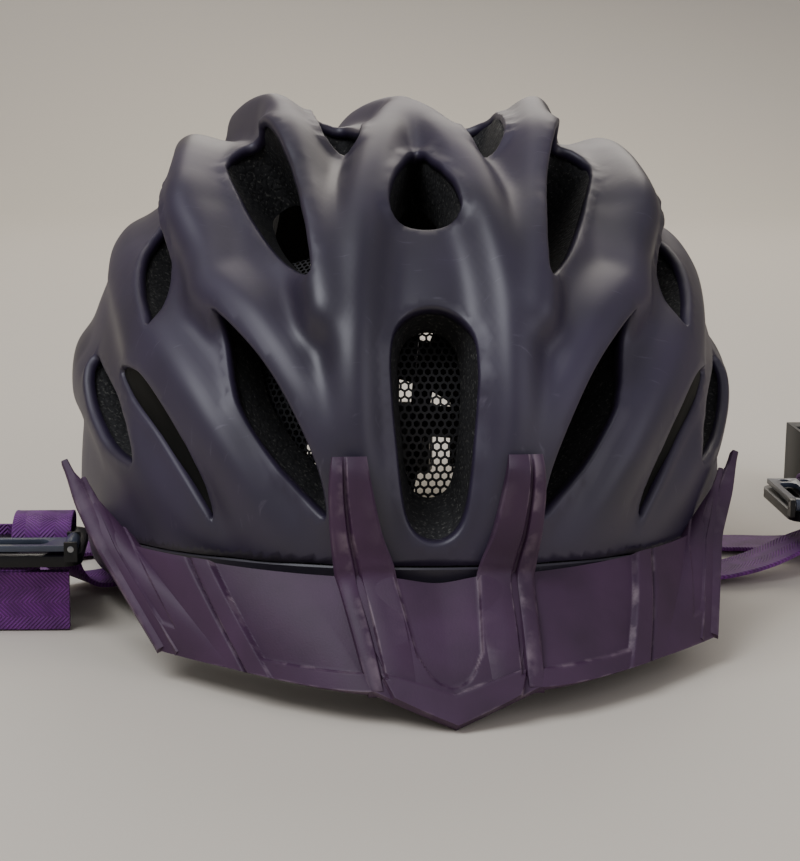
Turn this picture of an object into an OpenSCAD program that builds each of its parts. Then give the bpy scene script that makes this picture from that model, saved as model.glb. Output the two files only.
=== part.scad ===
// Off-road cycling helmet: clip-on visor, foam liner, dial-drawn head ring and webbing straps.
// Sizes are millimetres. +Z is up and the brow faces -Y. The origin is on the table, under the middle.

/* [Shell] */
// Width of the shell across the temples
shell_w = 216; // [180:1:260]
// Length of the shell from brow to nape
shell_l = 286; // [238:1:344]
// Height of the crown above the widest line
crown_h = 97; // [80:1:116]
// Height of the widest line above the table
belt_z = 60; // [52:1:72]
// How far below the widest line the sides would close, which sets how steep they are
skirt_h = 160; // [130:1:200]
// Wall of the outer shell and of the rim wrap
shell_t = 1.2; // [0.8:0.1:1.6]
// Depth of the valleys between the ridges
relief_depth = 9; // [4:0.5:12]
// Thickness of the foam liner
foam_t = 27; // [22:1:32]

/* [Lower edge] */
// Height of the edge at the brow
brow_z = 22; // [16:1:26]
// Height of the edge in front of the ear
ear_z = 9; // [6:1:14]
// Height of the arch over the dial
nape_z = 44; // [40:1:50]
// Height of the rim wrap
wrap_h = 14; // [10:1:16]
// Width of the lip that the rim wrap turns under the foam
lip_w = 10; // [6:1:16]

/* [Visor] */
// Thickness of the visor
visor_t = 2.2; // [1.6:0.1:3]
// Reach of the visor's tip in front of the shell
visor_reach = 29; // [20:1:40]
// Height of the edge that lies on the shell
visor_top_z = 33; // [30:1:38]
// Height of the visor's lower edge beside the tip
visor_low_z = 8; // [6:1:12]
// Height of the two prongs
prong_top_z = 67; // [60:1:74]
// Distance from the middle to each prong
prong_x = 24; // [20:1:30]
// Width of each prong
prong_w = 9; // [7:0.5:12]
// Turn of the visor on its studs, seen from above
visor_yaw = 3; // [0:0.5:4]
// Radius of the visor studs
stud_r = 2.5; // [2:0.1:3.2]

/* [Head ring] */
// Height of the middle of the belts
ring_z = 24; // [20:1:26]
// Radius of the belts' outer face
ring_r = 71; // [62:1:76]
// Distance from the middle of the shell back to the middle of the ring
ring_y = 27; // [20:1:32]
// Height of the belts
belt_h = 12; // [10:0.5:13]
// Thickness of the belts
belt_t = 1.6; // [1.2:0.1:2]
// Pitch radius of the dial's pinion
pinion_r = 5; // [4.5:0.1:5.6]
// Teeth of the pinion
pinion_teeth = 10; // [8:1:12]
// Radius of the dial
dial_r = 14; // [12:0.5:17]
// Depth of the dial
dial_h = 9; // [7:0.5:12]
// Distance from the middle of the shell forward to the pins that the ring swings on
pivot_y = 46; // [40:1:52]
// Radius of those pins
pivot_r = 2.5; // [2:0.1:3]

/* [Straps] */
// Width of the webbing
strap_w = 18; // [15:1:22]
// Thickness of the webbing
strap_t = 1.6; // [1.2:0.1:2]
// Thickness of the strap dividers
divider_t = 3.2; // [2.6:0.1:4]
// Radius of the divider lever's pin
lever_pin_r = 1; // [0.8:0.1:1.2]

/* [Padding] */
// Thickness of the pads
pad_t = 6; // [4:0.5:9]
// Thickness of the insect net
net_t = 0.8; // [0.6:0.1:1.2]

/* [Hidden] */

$fn = 48;
// Distance from the frame's origin back to the middle of the shell, which centres the whole helmet
middle_y = visor_reach / 2;
// Bond line between the shell and the foam
bond_gap = 0.15;
// Gap along the seam above the rim wrap
seam_gap = 0.4;
// Loose fit round parts that are pushed in
fit_gap = 0.2;
// Running clearance of pins and shafts
run_gap = 0.06;
// Gap between parts that slide past each other
slide_gap = 0.4;
// Rings and spokes of the shell's mesh
rings = 18;
spokes = 58;
// The lowest points of the edge, behind the ears, on which the helmet stands
lobe_angle = 130;
ear_angle = 85;

// Ridges as [half width, height, line], in degrees from the crown: across, and towards the nape
RIDGES = [
    [6.5, 1, [[0, 8], [0, -4], [5, -26], [10, -48], [13, -66], [14, -84], [12, -104]]],
    [6.5, 1, [[0, 8], [6, 30], [10, 55], [11, 80], [9, 104]]],
    [5.5, 1.3, [[30, 22], [24, -5], [21, -30], [19, -54], [17.5, -68]]],
    [5.5, 1, [[30, 22], [24, 50], [22, 80], [24, 110]]],
    [6, 1, [[41, 20], [41, -10], [42, -35], [39, -54], [30, -66], [22, -79], [17, -94]]],
    [7, 1, [[41, 20], [44, 50], [48, 75], [52, 100]]],
    [7, 1, [[62, 30], [61, -20], [56, -50], [46, -68], [38, -84], [30, -100]]],
    [7, 1, [[84, 40], [84, -20], [74, -52], [60, -78], [44, -96]]]];

// Vent outlines in the same degrees. Those on the middle list their right half.
MIDDLE_VENTS = [
    [[0, -69], [5, -70.5], [7.4, -75], [7.2, -86], [5.6, -95], [0, -97.5]],
    [[0, -40], [3, -46], [5.6, -54], [5.2, -59.5], [0, -61]],
    [[0, 24], [3.5, 28], [5, 40], [4, 48], [0, 50]],
    [[0, 60], [5, 63], [5.5, 78], [4, 84], [0, 86]]];
SIDE_VENTS = [
    [[30, -15], [35, -21], [33.5, -36], [30, -48], [25, -57.5], [19, -63.5], [18.5, -56], [22, -33], [25.5, -21]],
    [[37, -60], [37.5, -66], [36, -74], [32.5, -81], [27.5, -87.5], [20.5, -93], [20, -87], [25, -76], [31, -67]],
    [[10, -33], [15, -32], [17, -22], [18, -2], [15, 3], [11, 0], [9, -20]],
    [[46, -16], [50, -20], [53.5, -28], [54.5, -38], [53.5, -47], [51, -52.5], [46.5, -36]],
    [[74, -31], [76.5, -36], [76.5, -46], [72.5, -58], [64, -67.5], [66, -55], [71, -40]],
    [[31, 26], [36, 28], [38, 44], [36, 62], [30, 66], [28, 48]],
    [[14, 62], [18, 60], [19, 78], [17, 92], [13, 92], [12.5, 76]],
    [[50, 20], [55, 24], [58, 44], [56, 60], [51, 52]]];
INSERT = [[64, -49], [61.5, -57], [56, -67.5], [50.5, -77.5], [45, -86.5], [46, -79], [50, -69.5], [56.5, -57.5]];

// ---- The shell's surface ----

// Height of the lower edge at an angle round the helmet: 0 is the brow and 180 is the nape
function edge_z(psi) = let (a = abs(psi) > 180 ? 360 - abs(psi) : abs(psi))
    a < ear_angle ? ear_z + (brow_z - ear_z) * (1 + cos(180 * a / ear_angle)) / 2
    : a < lobe_angle ? shell_t + (ear_z - shell_t) * (1 + cos(180 * (a - ear_angle) / (lobe_angle - ear_angle))) / 2
    : nape_z + (shell_t - nape_z) * (1 + cos(180 * (a - lobe_angle) / (180 - lobe_angle))) / 2;
function split_z(psi) = edge_z(psi) + wrap_h;

// Horizontal reach of the smooth form at a height, and the point there
function reach(psi, z, off) = let (c = z > belt_z ? crown_h + off : skirt_h, h = (z - belt_z) / c)
    sqrt(max(0, 1 - h * h)) / norm([sin(psi) / (shell_w / 2 + off), cos(psi) / (shell_l / 2 + off)]);
function wall_point(psi, z, off) = let (r = reach(psi, z, off)) [r * sin(psi), -r * cos(psi), z];
// Angle from the crown at which the smooth form has a height
function crown_angle(psi, z, off) = atan2(reach(psi, z, off), z - belt_z);

function ray(u, v) = let (t = norm([u, v]), p = atan2(u, -v)) [sin(t) * sin(p), -sin(t) * cos(p), cos(t)];
function smooth_r(d, off) =
    1 / norm([d.x / (shell_w / 2 + off), d.y / (shell_l / 2 + off), d.z / (d.z > 0 ? crown_h + off : skirt_h)]);
function smooth_point(u, v, off) = let (d = ray(u, v)) [0, 0, belt_z] + d * smooth_r(d, off);

function line_gap(p, a, b) = let (ab = b - a, s = max(0, min(1, ((p - a) * ab) / (ab * ab)))) norm(p - a - s * ab);
function ridge_rise(p, ridge) = ridge[1] * max([for (i = [1:len(ridge[2]) - 1])
    let (d = line_gap(p, ridge[2][i - 1], ridge[2][i]) / ridge[0]) d < 1 ? 1 - d * d : 0]);
// The relief fades out towards the seam above the rim wrap
function relief(u, v) = let (s = norm([u, v]) / crown_angle(atan2(u, -v), split_z(atan2(u, -v)), 0))
    relief_depth * max(0, min(1, (1 - s) / 0.14)) * (max([for (r = RIDGES) ridge_rise([abs(u), v], r)]) - 1);
function skin_point(u, v, off) = let (d = ray(u, v)) [0, 0, belt_z] + d * (smooth_r(d, off) + relief(u, v));
function polar_skin(psi, t, off) = skin_point(t * sin(psi), -t * cos(psi), off);
function polar_smooth(psi, t, off) = smooth_point(t * sin(psi), -t * cos(psi), off);

module place() translate([0, middle_y, 0]) children();

// ---- Helpers ----

function flatten(rows) = [for (row = rows) each row];

// The two triangles of a four-sided cell, split one way or the other
function cell(a, b, c, d, turned) = turned ? [[a, b, d], [b, c, d]] : [[a, b, c], [a, c, d]];

// A closed dome between two sets of rings of the same size, each set with its own crown point.
// The cells of one half are split the other way, so the two halves mirror each other.
module dome(top, outer, under, inner) {
    n = len(outer[0]);
    m = len(outer);
    u0 = 1 + m * n;
    function at(base, k, i) = base + 1 + k * n + i % n;
    polyhedron(
        points = concat([top], flatten(outer), [under], flatten(inner)),
        faces = concat(
            [for (i = [0:n - 1]) [0, at(0, 0, i + 1), at(0, 0, i)]],
            [for (i = [0:n - 1]) [u0, at(u0, 0, i), at(u0, 0, i + 1)]],
            [for (k = [0:m - 2], i = [0:n - 1])
                each cell(at(0, k, i), at(0, k, i + 1), at(0, k + 1, i + 1), at(0, k + 1, i), i >= n / 2)],
            [for (k = [0:m - 2], i = [0:n - 1])
                each cell(at(u0, k, i), at(u0, k + 1, i), at(u0, k + 1, i + 1), at(u0, k, i + 1), i >= n / 2)],
            [for (i = [0:n - 1])
                each cell(at(0, m - 1, i), at(0, m - 1, i + 1), at(u0, m - 1, i + 1), at(u0, m - 1, i), i >= n / 2)]));
}

// A solid through a row of sections, each a loop of points that runs anticlockwise along the row
module sweep(sections, ring = false) {
    m = len(sections[0]);
    n = len(sections);
    last = ring ? n - 1 : n - 2;
    polyhedron(
        points = flatten(sections),
        faces = concat(
            [for (s = [0:last], j = [0:m - 1]) let (next = (s + 1) % n * m, k = (j + 1) % m)
                each cell(s * m + j, next + j, next + k, s * m + k, false)],
            ring ? [] : [[for (j = [0:m - 1]) j], [for (j = [m - 1:-1:0]) (n - 1) * m + j]]));
}

// A smooth curve through hand-placed points of any length, several steps to a span
function curve(p, steps) = let (n = len(p)) concat([for (i = [0:n - 2], k = [0:steps - 1])
    let (a = p[max(0, i - 1)], b = p[i], c = p[i + 1], d = p[min(n - 1, i + 2)], t = k / steps)
    0.5 * (2 * b + (c - a) * t + (2 * a - 5 * b + 4 * c - d) * t * t + (3 * b - a - 3 * c + d) * t * t * t)],
    [p[n - 1]]);

// Webbing along route points, each followed by the direction of its width
module webbing(route, width, thickness, steps = 5) {
    p = curve([for (r = route) r[0]], steps);
    w = curve([for (r = route) r[1]], steps);
    sweep([for (i = [0:len(p) - 1])
        let (along = p[min(i + 1, len(p) - 1)] - p[max(i - 1, 0)],
            up = cross(along, w[i]) / norm(cross(along, w[i])),
            across = cross(up, along) / norm(cross(up, along)))
        [for (c = [[-1, -1], [1, -1], [1, 1], [-1, 1]]) p[i] + across * c.x * width / 2 + up * c.y * thickness / 2]]);
}

// A prism through the wall along the rays from the middle, narrower inside than outside
module ray_cut(outline, far, near, taper) {
    mid = [for (k = [0, 1]) let (c = [for (p = outline) p[k]]) (max(c) + min(c)) / 2];
    inner = [for (p = outline) mid + (p - mid) * taper];
    points = concat([for (p = outline) smooth_point(p.x, p.y, far)], [for (p = inner) smooth_point(p.x, p.y, near)]);
    hull() polyhedron(points = points, faces = [[for (i = [0:len(points) - 1]) i]]);
}
function both_halves(half) = concat(half, [for (i = [len(half) - 1:-1:0]) [-half[i].x, half[i].y]]);
function mirrored(outline) = [for (p = outline) [-p.x, p.y]];

// How far the cuts reach past the wall, and how much narrower a vent is inside than outside
cut_past = 14;
vent_taper = 0.8;
module vent(outline) ray_cut(outline, cut_past, -foam_t - cut_past, vent_taper);
module vents() {
    for (half = MIDDLE_VENTS) vent(both_halves(half));
    for (outline = SIDE_VENTS) {
        vent(outline);
        vent(mirrored(outline));
    }
}

// The inlays' seats: a lens through the skin with a floor in the foam
insert_depth = 5.5;
module insert_seat(side) insert_form(side, 1, cut_past, -insert_depth);
module insert_form(side, grow, far, near) {
    mid = (INSERT[0] + INSERT[4]) / 2;
    outline = [for (p = INSERT) let (q = mid + (p - mid) * grow) [side * q.x, q.y]];
    points = concat([for (p = outline) skin_point(p.x, p.y, far)], [for (p = outline) skin_point(p.x, p.y, near)]);
    hull() polyhedron(points = points, faces = [[for (i = [0:len(points) - 1]) i]]);
}

// ---- Shells and foam ----

module outer_shell() {
    skin = [for (k = [1:rings]) [for (i = [0:spokes - 1]) let (psi = 360 * i / spokes)
        polar_skin(psi, crown_angle(psi, split_z(psi), 0) * k / rings, 0)]];
    back = [for (k = [1:rings]) [for (i = [0:spokes - 1]) let (psi = 360 * i / spokes)
        polar_skin(psi, crown_angle(psi, split_z(psi), 0) * k / rings, -shell_t)]];
    color("#4a4453") place() difference() {
        dome(skin_point(0, 0, 0), skin, skin_point(0, 0, -shell_t), back);
        vents();
        for (side = [-1, 1]) {
            insert_seat(side);
            visor_socket_seat(side);
        }
    }
}

module rim_wrap() {
    color("#332f3a") place() sweep([for (i = [0:spokes - 1])
        let (psi = 360 * i / spokes, low = edge_z(psi), high = split_z(psi) - seam_gap)
        [wall_point(psi, high, 0), wall_point(psi, high, -shell_t), wall_point(psi, low - bond_gap, -shell_t),
            wall_point(psi, low - bond_gap, -lip_w), wall_point(psi, low - shell_t, -lip_w),
            wall_point(psi, low - shell_t, 0)]], ring = true);
}

module foam_liner() {
    outer_off = -shell_t - bond_gap;
    skin = [for (k = [1:rings + 1]) [for (i = [0:spokes - 1])
        let (psi = 360 * i / spokes, split = crown_angle(psi, split_z(psi), 0),
            low = crown_angle(psi, edge_z(psi), outer_off))
        polar_skin(psi, k <= rings ? split * k / rings : low, outer_off)]];
    hollow = [for (k = [1:rings + 2]) [for (i = [0:spokes - 1]) let (psi = 360 * i / spokes)
        polar_smooth(psi, crown_angle(psi, edge_z(psi), -foam_t) * k / (rings + 2), -foam_t)]];
    color("#1c1c1e") place() difference() {
        dome(skin_point(0, 0, outer_off), skin, smooth_point(0, 0, -foam_t), hollow);
        vents();
        for (side = [-1, 1]) {
            insert_seat(side);
            visor_socket_seat(side);
            pivot_socket_seat(side);
            for (psi = STRAP_ANGLES) strap_anchor_seat(side * psi);
        }
        stem_seat();
    }
}

module side_insert(side) color("#25261f") place() insert_form(side, 0.97, -0.9, fit_gap - insert_depth);
module side_insert_left() side_insert(-1);
module side_insert_right() side_insert(1);

// ---- Visor ----

// Front of the smooth form beside the middle plane
function front_y(x, z, off) = let (c = z > belt_z ? crown_h + off : skirt_h)
    -(shell_l / 2 + off) * sqrt(max(0, 1 - pow(x / (shell_w / 2 + off), 2) - pow((z - belt_z) / c, 2)));
stud_z = prong_top_z - 8;
socket_wall = 2.6;
socket_depth = 12;
stud_face_y = front_y(prong_x, stud_z, 0);
// The turned visor stands this much further forward, so that neither prong touches the shell
visor_slack = 1.2 + prong_x * sin(visor_yaw);
visor_tip_y = -shell_l / 2 - visor_reach;
visor_steps = 10;

module visor_socket_seat(side) translate([side * prong_x, stud_face_y - 8, stud_z]) rotate([-90, 0, 0])
    cylinder(r = stud_r + socket_wall + fit_gap, h = socket_depth + 8 + fit_gap, $fn = 24);

// Upper and lower edges of the visor from the middle (0) to the wing's end (1)
wing_start = 0.74;
wing_angle = 40;
wing_tip = [shell_w / 2 - 7, -0.55 * shell_l / 2, visor_top_z + 19];
function visor_top(a) = let (
        s = max(0, (a - wing_start) / (1 - wing_start)),
        lain = wall_point(wing_angle * min(1, a / wing_start), visor_top_z, visor_slack + 3 * a))
    lain * (1 - s) + wing_tip * s;
corner = [0.72 * shell_w / 2, -0.84 * shell_l / 2, visor_low_z];
nose_x = 22;
nose_y = visor_tip_y + 7;
function visor_low(a) = let (x = a * corner.x)
    x < nose_x ? [x, visor_tip_y + (nose_y - visor_tip_y) * x / nose_x, visor_low_z * x / nose_x]
    : let (s = (x - nose_x) / (corner.x - nose_x)) [x, nose_y + (corner.y - nose_y) * pow(s, 1.35), visor_low_z];
function flip(p, side) = [side * p.x, p.y, p.z];
// The visor's wall has its thickness towards the front and up
function visor_wall(a, side) = let (top = visor_top(a), low = visor_low(a), out = [0, -visor_t * 0.75, visor_t * 0.55])
    [for (p = [top, low, low + out, top + out]) flip(p, side)];
module block_chain(sections) for (i = [1:len(sections) - 1])
    hull() polyhedron(
        points = concat(sections[i - 1], sections[i]),
        faces = [[for (j = [0:2 * len(sections[0]) - 1]) j]]);

// A prong runs down the shell's face and over the visor to its lower edge
prong_h = 4.2;
function prong_section(side, x, back, deep) = [for (dx = [-prong_w / 2, prong_w / 2], k = [0, 1])
    [side * (x + dx), back.x - k * deep.x, back.y + k * deep.y]];
function prong_back(z) = [front_y(prong_x, z, visor_slack), z];
module prong(side) block_chain([
    prong_section(side, prong_x, prong_back(prong_top_z), [1.2, 0]),
    prong_section(side, prong_x, prong_back(prong_top_z - 6), [prong_h, 0]),
    prong_section(side, prong_x, prong_back(visor_top_z + 12), [prong_h, 0]),
    prong_section(side, prong_x, prong_back(visor_top_z), [prong_h, prong_h]),
    prong_section(side, prong_x - 3, [nose_y + 1, visor_low_z + 1], [prong_h * 0.6, prong_h * 0.7])]);

// A rib over the wing, sunk a third of its height in the wall
rib_w = 0.045;
rib_rise = [0, -3.6, 2];
module wing_rib(side, a) block_chain([
    for (edge = [0, 1]) [for (s = [a, a + rib_w], k = [0.3, 1])
        flip((edge == 0 ? visor_top(s) : visor_low(s)) + k * rib_rise, side)]]);

module visor() {
    hinge = [0, -shell_l / 2, 0];
    color("#4b3350") place() translate(hinge) rotate([0, 0, visor_yaw]) translate(-hinge) difference() {
        union() {
            for (side = [-1, 1]) {
                block_chain([for (k = [0:visor_steps]) visor_wall(k / visor_steps, side)]);
                prong(side);
                wing_rib(side, 0.7);
                wing_rib(side, 0.94);
            }
        }
        for (side = [-1, 1]) translate([side * prong_x, stud_face_y - 0.8 - visor_slack, stud_z]) rotate([-90, 0, 0])
            cylinder(r = stud_r + 1.9 + fit_gap, h = 20, $fn = 24);
    }
}

stud_flange = 1.2;
module visor_studs() color("#2d2a30") place() for (side = [-1, 1])
    translate([side * prong_x, stud_face_y - 1.6, stud_z]) rotate([-90, 0, 0]) {
        cylinder(r = stud_r + 1.7, h = stud_flange);
        cylinder(r = stud_r, h = socket_depth - 0.5);
    }
module visor_sockets() color("#1f1f21") place() for (side = [-1, 1])
    translate([side * prong_x, stud_face_y + 1.2, stud_z]) rotate([-90, 0, 0]) difference() {
        cylinder(r = stud_r + socket_wall, h = socket_depth - 1.2);
        translate([0, 0, -1]) cylinder(r = stud_r + run_gap, h = socket_depth - 1.5);
    }

// ---- Net and pads, which follow the foam's hollow ----

net_off = -foam_t - 0.5;
pad_off = net_off - net_t - 0.4;
// A strip between two heights, from one angle round the helmet to another
module lining(psi0, psi1, low, high, off, thickness, steps) {
    sweep([for (i = [0:steps]) let (psi = psi0 + (psi1 - psi0) * i / steps)
        [polar_smooth(psi, crown_angle(psi, low, off), off), polar_smooth(psi, crown_angle(psi, high, off), off),
            polar_smooth(psi, crown_angle(psi, high, off - thickness), off - thickness),
            polar_smooth(psi, crown_angle(psi, low, off - thickness), off - thickness)]]);
}
module insect_net() {
    rows = 8;
    columns = 20;
    span = 50;
    high = 52;
    function net_point(i, k, off) = let (psi = span * (2 * i / columns - 1), low = crown_angle(psi, brow_z + 18, off))
        polar_smooth(psi, high + (low - high) * k / rows, off);
    color("#202024") place() sweep([for (i = [0:columns]) concat(
        [for (k = [rows:-1:0]) net_point(i, k, net_off)], [for (k = [0:rows]) net_point(i, k, net_off - net_t)])]);
}
module brow_pad() color("#1d1b20") place() lining(-50, 50, brow_z + 3, brow_z + 17, pad_off, pad_t, 20);
module side_pad(side) color("#1d1b20") place()
    lining(side * 90 - 22, side * 90 + 22, belt_z - 14, belt_z + 4, pad_off, pad_t, 8);
module side_pad_left() side_pad(-1);
module side_pad_right() side_pad(1);
module crown_pad(side) {
    function pad_point(v, u, off) = smooth_point(side * u, v, off);
    color("#1d1b20") place() sweep([for (v = [-26:6.5:39]) let (c = [[7, 0], [13, 0], [19, 0], [19, 1], [13, 1], [7, 1]])
        [for (i = [0:5]) let (q = c[side > 0 ? i : 5 - i]) pad_point(v, q.x, pad_off - q.y * pad_t)]]);
}
module crown_pad_left() crown_pad(-1);
module crown_pad_right() crown_pad(1);

// ---- Head ring: arms, belts, cradle and dial ----

// Side of the foam's hollow at a distance from the middle
function side_x(y, z, off) = let (c = z > belt_z ? crown_h + off : skirt_h)
    (shell_w / 2 + off) * sqrt(max(0, 1 - pow(y / (shell_l / 2 + off), 2) - pow((z - belt_z) / c, 2)));
arm_t = 1.6;
arm_r = ring_r + slide_gap;
pivot_wall_x = side_x(-pivot_y, ring_z, -foam_t);
pivot_x = pivot_wall_x - arm_t - 3.2;
pivot_socket_wall = 2.4;
pivot_socket_depth = 10;
eye_r = belt_h / 2 + 1;
arm_end = 8;
loop_start = 6;
loop_end = 13;
loop_t = 1.4;
// Bands that run into one another differ by this, so their faces never coincide
step_in = 0.1;

// Part of a ring round the head: angles run anticlockwise from +X, and 90 is the nape
module band(r0, r1, z0, z1, a0, a1) translate([0, ring_y, z0]) rotate([0, 0, a0])
    rotate_extrude(angle = a1 - a0) translate([r0, 0]) square([r1 - r0, z1 - z0]);
module on_side(side) if (side > 0) children(); else mirror([1, 0, 0]) children();

module ring_arm(side) {
    start = [(arm_r + arm_t / 2) * cos(arm_end), ring_y - (arm_r + arm_t / 2) * sin(arm_end)];
    end = [pivot_x + arm_t / 2, -pivot_y];
    run = norm(start - end);
    color("#2a2a2e") place() on_side(side) difference() {
        union() {
            band(arm_r + step_in, arm_r + arm_t - step_in, ring_z - belt_h / 2, ring_z + belt_h / 2,
                -arm_end, (loop_start + loop_end) / 2);
            translate([end.x, end.y, ring_z - belt_h / 2]) rotate([0, 0, atan2(start.y - end.y, start.x - end.x)])
                translate([0, -arm_t / 2 - step_in, -step_in])
                    cube([run + 0.3, arm_t + 2 * step_in, belt_h + 2 * step_in]);
            translate([pivot_x - 0.4, -pivot_y, ring_z]) rotate([0, 90, 0]) cylinder(r = eye_r, h = arm_t + 0.8);
            difference() {
                band(ring_r - belt_t - slide_gap - loop_t, arm_r + arm_t, ring_z - belt_h / 2 - slide_gap - loop_t,
                    ring_z + belt_h / 2 + slide_gap + loop_t, loop_start, loop_end);
                band(ring_r - belt_t - slide_gap, arm_r, ring_z - belt_h / 2 - slide_gap,
                    ring_z + belt_h / 2 + slide_gap, loop_start - 5, loop_end + 5);
            }
        }
        translate([pivot_x - 5, -pivot_y, ring_z]) rotate([0, 90, 0]) cylinder(r = pivot_r + run_gap, h = 12);
    }
}
module ring_arm_left() ring_arm(-1);
module ring_arm_right() ring_arm(1);

module pivot_socket_seat(side) on_side(side) translate([pivot_wall_x - 4, -pivot_y, ring_z]) rotate([0, 90, 0])
    cylinder(r = pivot_r + pivot_socket_wall + fit_gap, h = pivot_socket_depth + 4 + fit_gap, $fn = 24);
module pivot_sockets() color("#1f1f21") place() for (side = [-1, 1]) on_side(side)
    translate([pivot_wall_x + 0.3, -pivot_y, ring_z]) rotate([0, 90, 0]) difference() {
        cylinder(r = pivot_r + pivot_socket_wall, h = pivot_socket_depth - 0.3);
        translate([0, 0, -1]) cylinder(r = pivot_r, h = pivot_socket_depth - 1);
    }
module pivot_pins() color("#3a3a3e") place() for (side = [-1, 1]) on_side(side)
    translate([pivot_x - 0.4 - slide_gap, -pivot_y, ring_z]) rotate([0, 90, 0]) {
        translate([0, 0, -1.6]) cylinder(r = pivot_r + 2, h = 1.6);
        translate([0, 0, -0.5]) cylinder(r = pivot_r, h = pivot_wall_x - pivot_x + pivot_socket_depth - 2);
    }

tooth_pitch = 2 * PI * pinion_r / pinion_teeth;
tooth_up = 0.55;
tooth_down = 0.9;
rack_r = ring_r - belt_t / 2;
rack_step = tooth_pitch / rack_r * 180 / PI;
rack_h = 3.6;
rack_end = 5;
rack_start = 58;
belt_front = -4;
module tooth(length) rotate([90, 0, 0]) translate([0, 0, -length / 2]) linear_extrude(length)
    polygon([[-0.75, -tooth_down - 0.2], [0.75, -tooth_down - 0.2], [0.35, tooth_up], [-0.35, tooth_up]]);
// A belt's wide part, and the narrow rack above or below the pinion. Teeth point at the pinion.
module belt(side) color("#303034") place() on_side(side) {
    up = side > 0 ? 1 : -1;
    first = ring_z + up * (pinion_r + tooth_down);
    last = first + up * rack_h;
    band(ring_r - belt_t, ring_r, ring_z - belt_h / 2, ring_z + belt_h / 2, belt_front, rack_start);
    band(ring_r - belt_t + step_in, ring_r - step_in, min(ring_z, last), max(ring_z, last),
        rack_start - 5, rack_start + 3);
    band(ring_r - belt_t + step_in / 2, ring_r - step_in / 2, min(first, last), max(first, last),
        rack_start + 1, 90 + rack_end);
    for (k = [-6:1]) translate([0, ring_y, 0]) rotate([0, 0, (k + 0.5) * rack_step])
        translate([0, rack_r, ring_z + up * pinion_r]) mirror([0, 0, up > 0 ? 1 : 0]) tooth(belt_t - 3 * step_in);
}
module belt_left() belt(-1);
module belt_right() belt(1);

guide_t = 2.2;
guide_h = 13;
guide_angle = 17;
guide_bar = guide_h - pinion_r - tooth_down - rack_h - slide_gap;
cradle_r = ring_r - belt_t - slide_gap;
shaft_r = 2.4;
cover_y = ring_y + ring_r + slide_gap + guide_t;
stem_top = 90;
stem_w = 16;
stem_slot_z = 62;
stem_pin_r = 2;
// The pin's whole way along the stem's slot, and how much of it is left below the pin
stem_travel = 27;
stem_spare = 4;
stem_y = ring_y + cradle_r - guide_t;
screw_x = 16;
screw_r = 1;
module at_screws() for (x = [-screw_x, screw_x], z = [-1, 1])
    translate([x, cover_y, ring_z + z * (guide_h - guide_bar / 2)]) rotate([90, 0, 0]) children();

module cradle() color("#2a2a2e") place() difference() {
    union() {
        band(cradle_r - guide_t, cradle_r, ring_z - guide_h, ring_z + guide_h, 90 - guide_angle, 90 + guide_angle);
        for (side = [-1, 1]) on_side(side) {
            band(cradle_r - guide_t, cradle_r, ring_z - guide_h + 3, ring_z + guide_h + 5, 52, 66);
            band(cradle_r - guide_t + step_in, cradle_r - step_in, ring_z + 1, ring_z + guide_h - step_in,
                64, 90 - guide_angle + 1);
        }
        translate([-stem_w / 2, stem_y - 0.4, ring_z + guide_h - 6]) cube([stem_w, guide_t, stem_top - ring_z - guide_h + 6]);
    }
    translate([0, 0, ring_z]) rotate([-90, 0, 0]) cylinder(r = shaft_r + run_gap, h = 200);
    translate([0, stem_y - 5, stem_slot_z + stem_travel / 2 - stem_spare]) rotate([-90, 90, 0]) linear_extrude(12)
        slot([0, 0], stem_travel + 2 * (stem_pin_r + slide_gap), 2 * (stem_pin_r + slide_gap));
    at_screws() translate([0, 0, -20]) cylinder(r = screw_r, h = 60);
}

module dial_cover() color("#303034") place() difference() {
    union() {
        band(ring_r + slide_gap, ring_r + slide_gap + guide_t, ring_z - guide_h, ring_z + guide_h,
            90 - guide_angle, 90 + guide_angle);
        for (z = [ring_z - guide_h, ring_z + guide_h - guide_bar])
            band(cradle_r + 0.02, ring_r + slide_gap + 0.5, z, z + guide_bar, 90 - guide_angle, 90 + guide_angle);
        translate([0, ring_y + ring_r + slide_gap + 0.3, ring_z]) rotate([-90, 0, 0]) cylinder(r = shaft_r + 3, h = guide_t + 0.4);
    }
    translate([0, 0, ring_z]) rotate([-90, 0, 0]) cylinder(r = shaft_r + run_gap, h = 200);
    at_screws() translate([0, 0, -20]) cylinder(r = screw_r + 0.15, h = 60);
    at_screws() translate([0, 0, -20]) cylinder(r = 2.2, h = 20.5 - 0.2);
}

module cover_screws() color("#8b8d90") place() at_screws() {
    translate([0, 0, -1.2]) cylinder(r = 1.9, h = 1.45);
    cylinder(r = screw_r - 0.02, h = 5.5);
}

knob_y = cover_y + 0.9;
module dial_pinion() color("#46464a") place() translate([0, ring_y + cradle_r - guide_t - 0.2, ring_z]) rotate([-90, 0, 0]) {
    cylinder(r = shaft_r, h = knob_y + dial_h - 4 - (ring_y + cradle_r - guide_t - 0.2));
    translate([0, 0, guide_t + 0.2 + slide_gap / 2]) {
        height = belt_t + slide_gap;
        cylinder(r = pinion_r - tooth_down, h = height);
        for (k = [0:pinion_teeth - 1]) rotate([0, 0, k * 360 / pinion_teeth])
            translate([0, pinion_r, height / 2]) rotate([-90, 0, 0]) tooth(height);
    }
}

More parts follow.
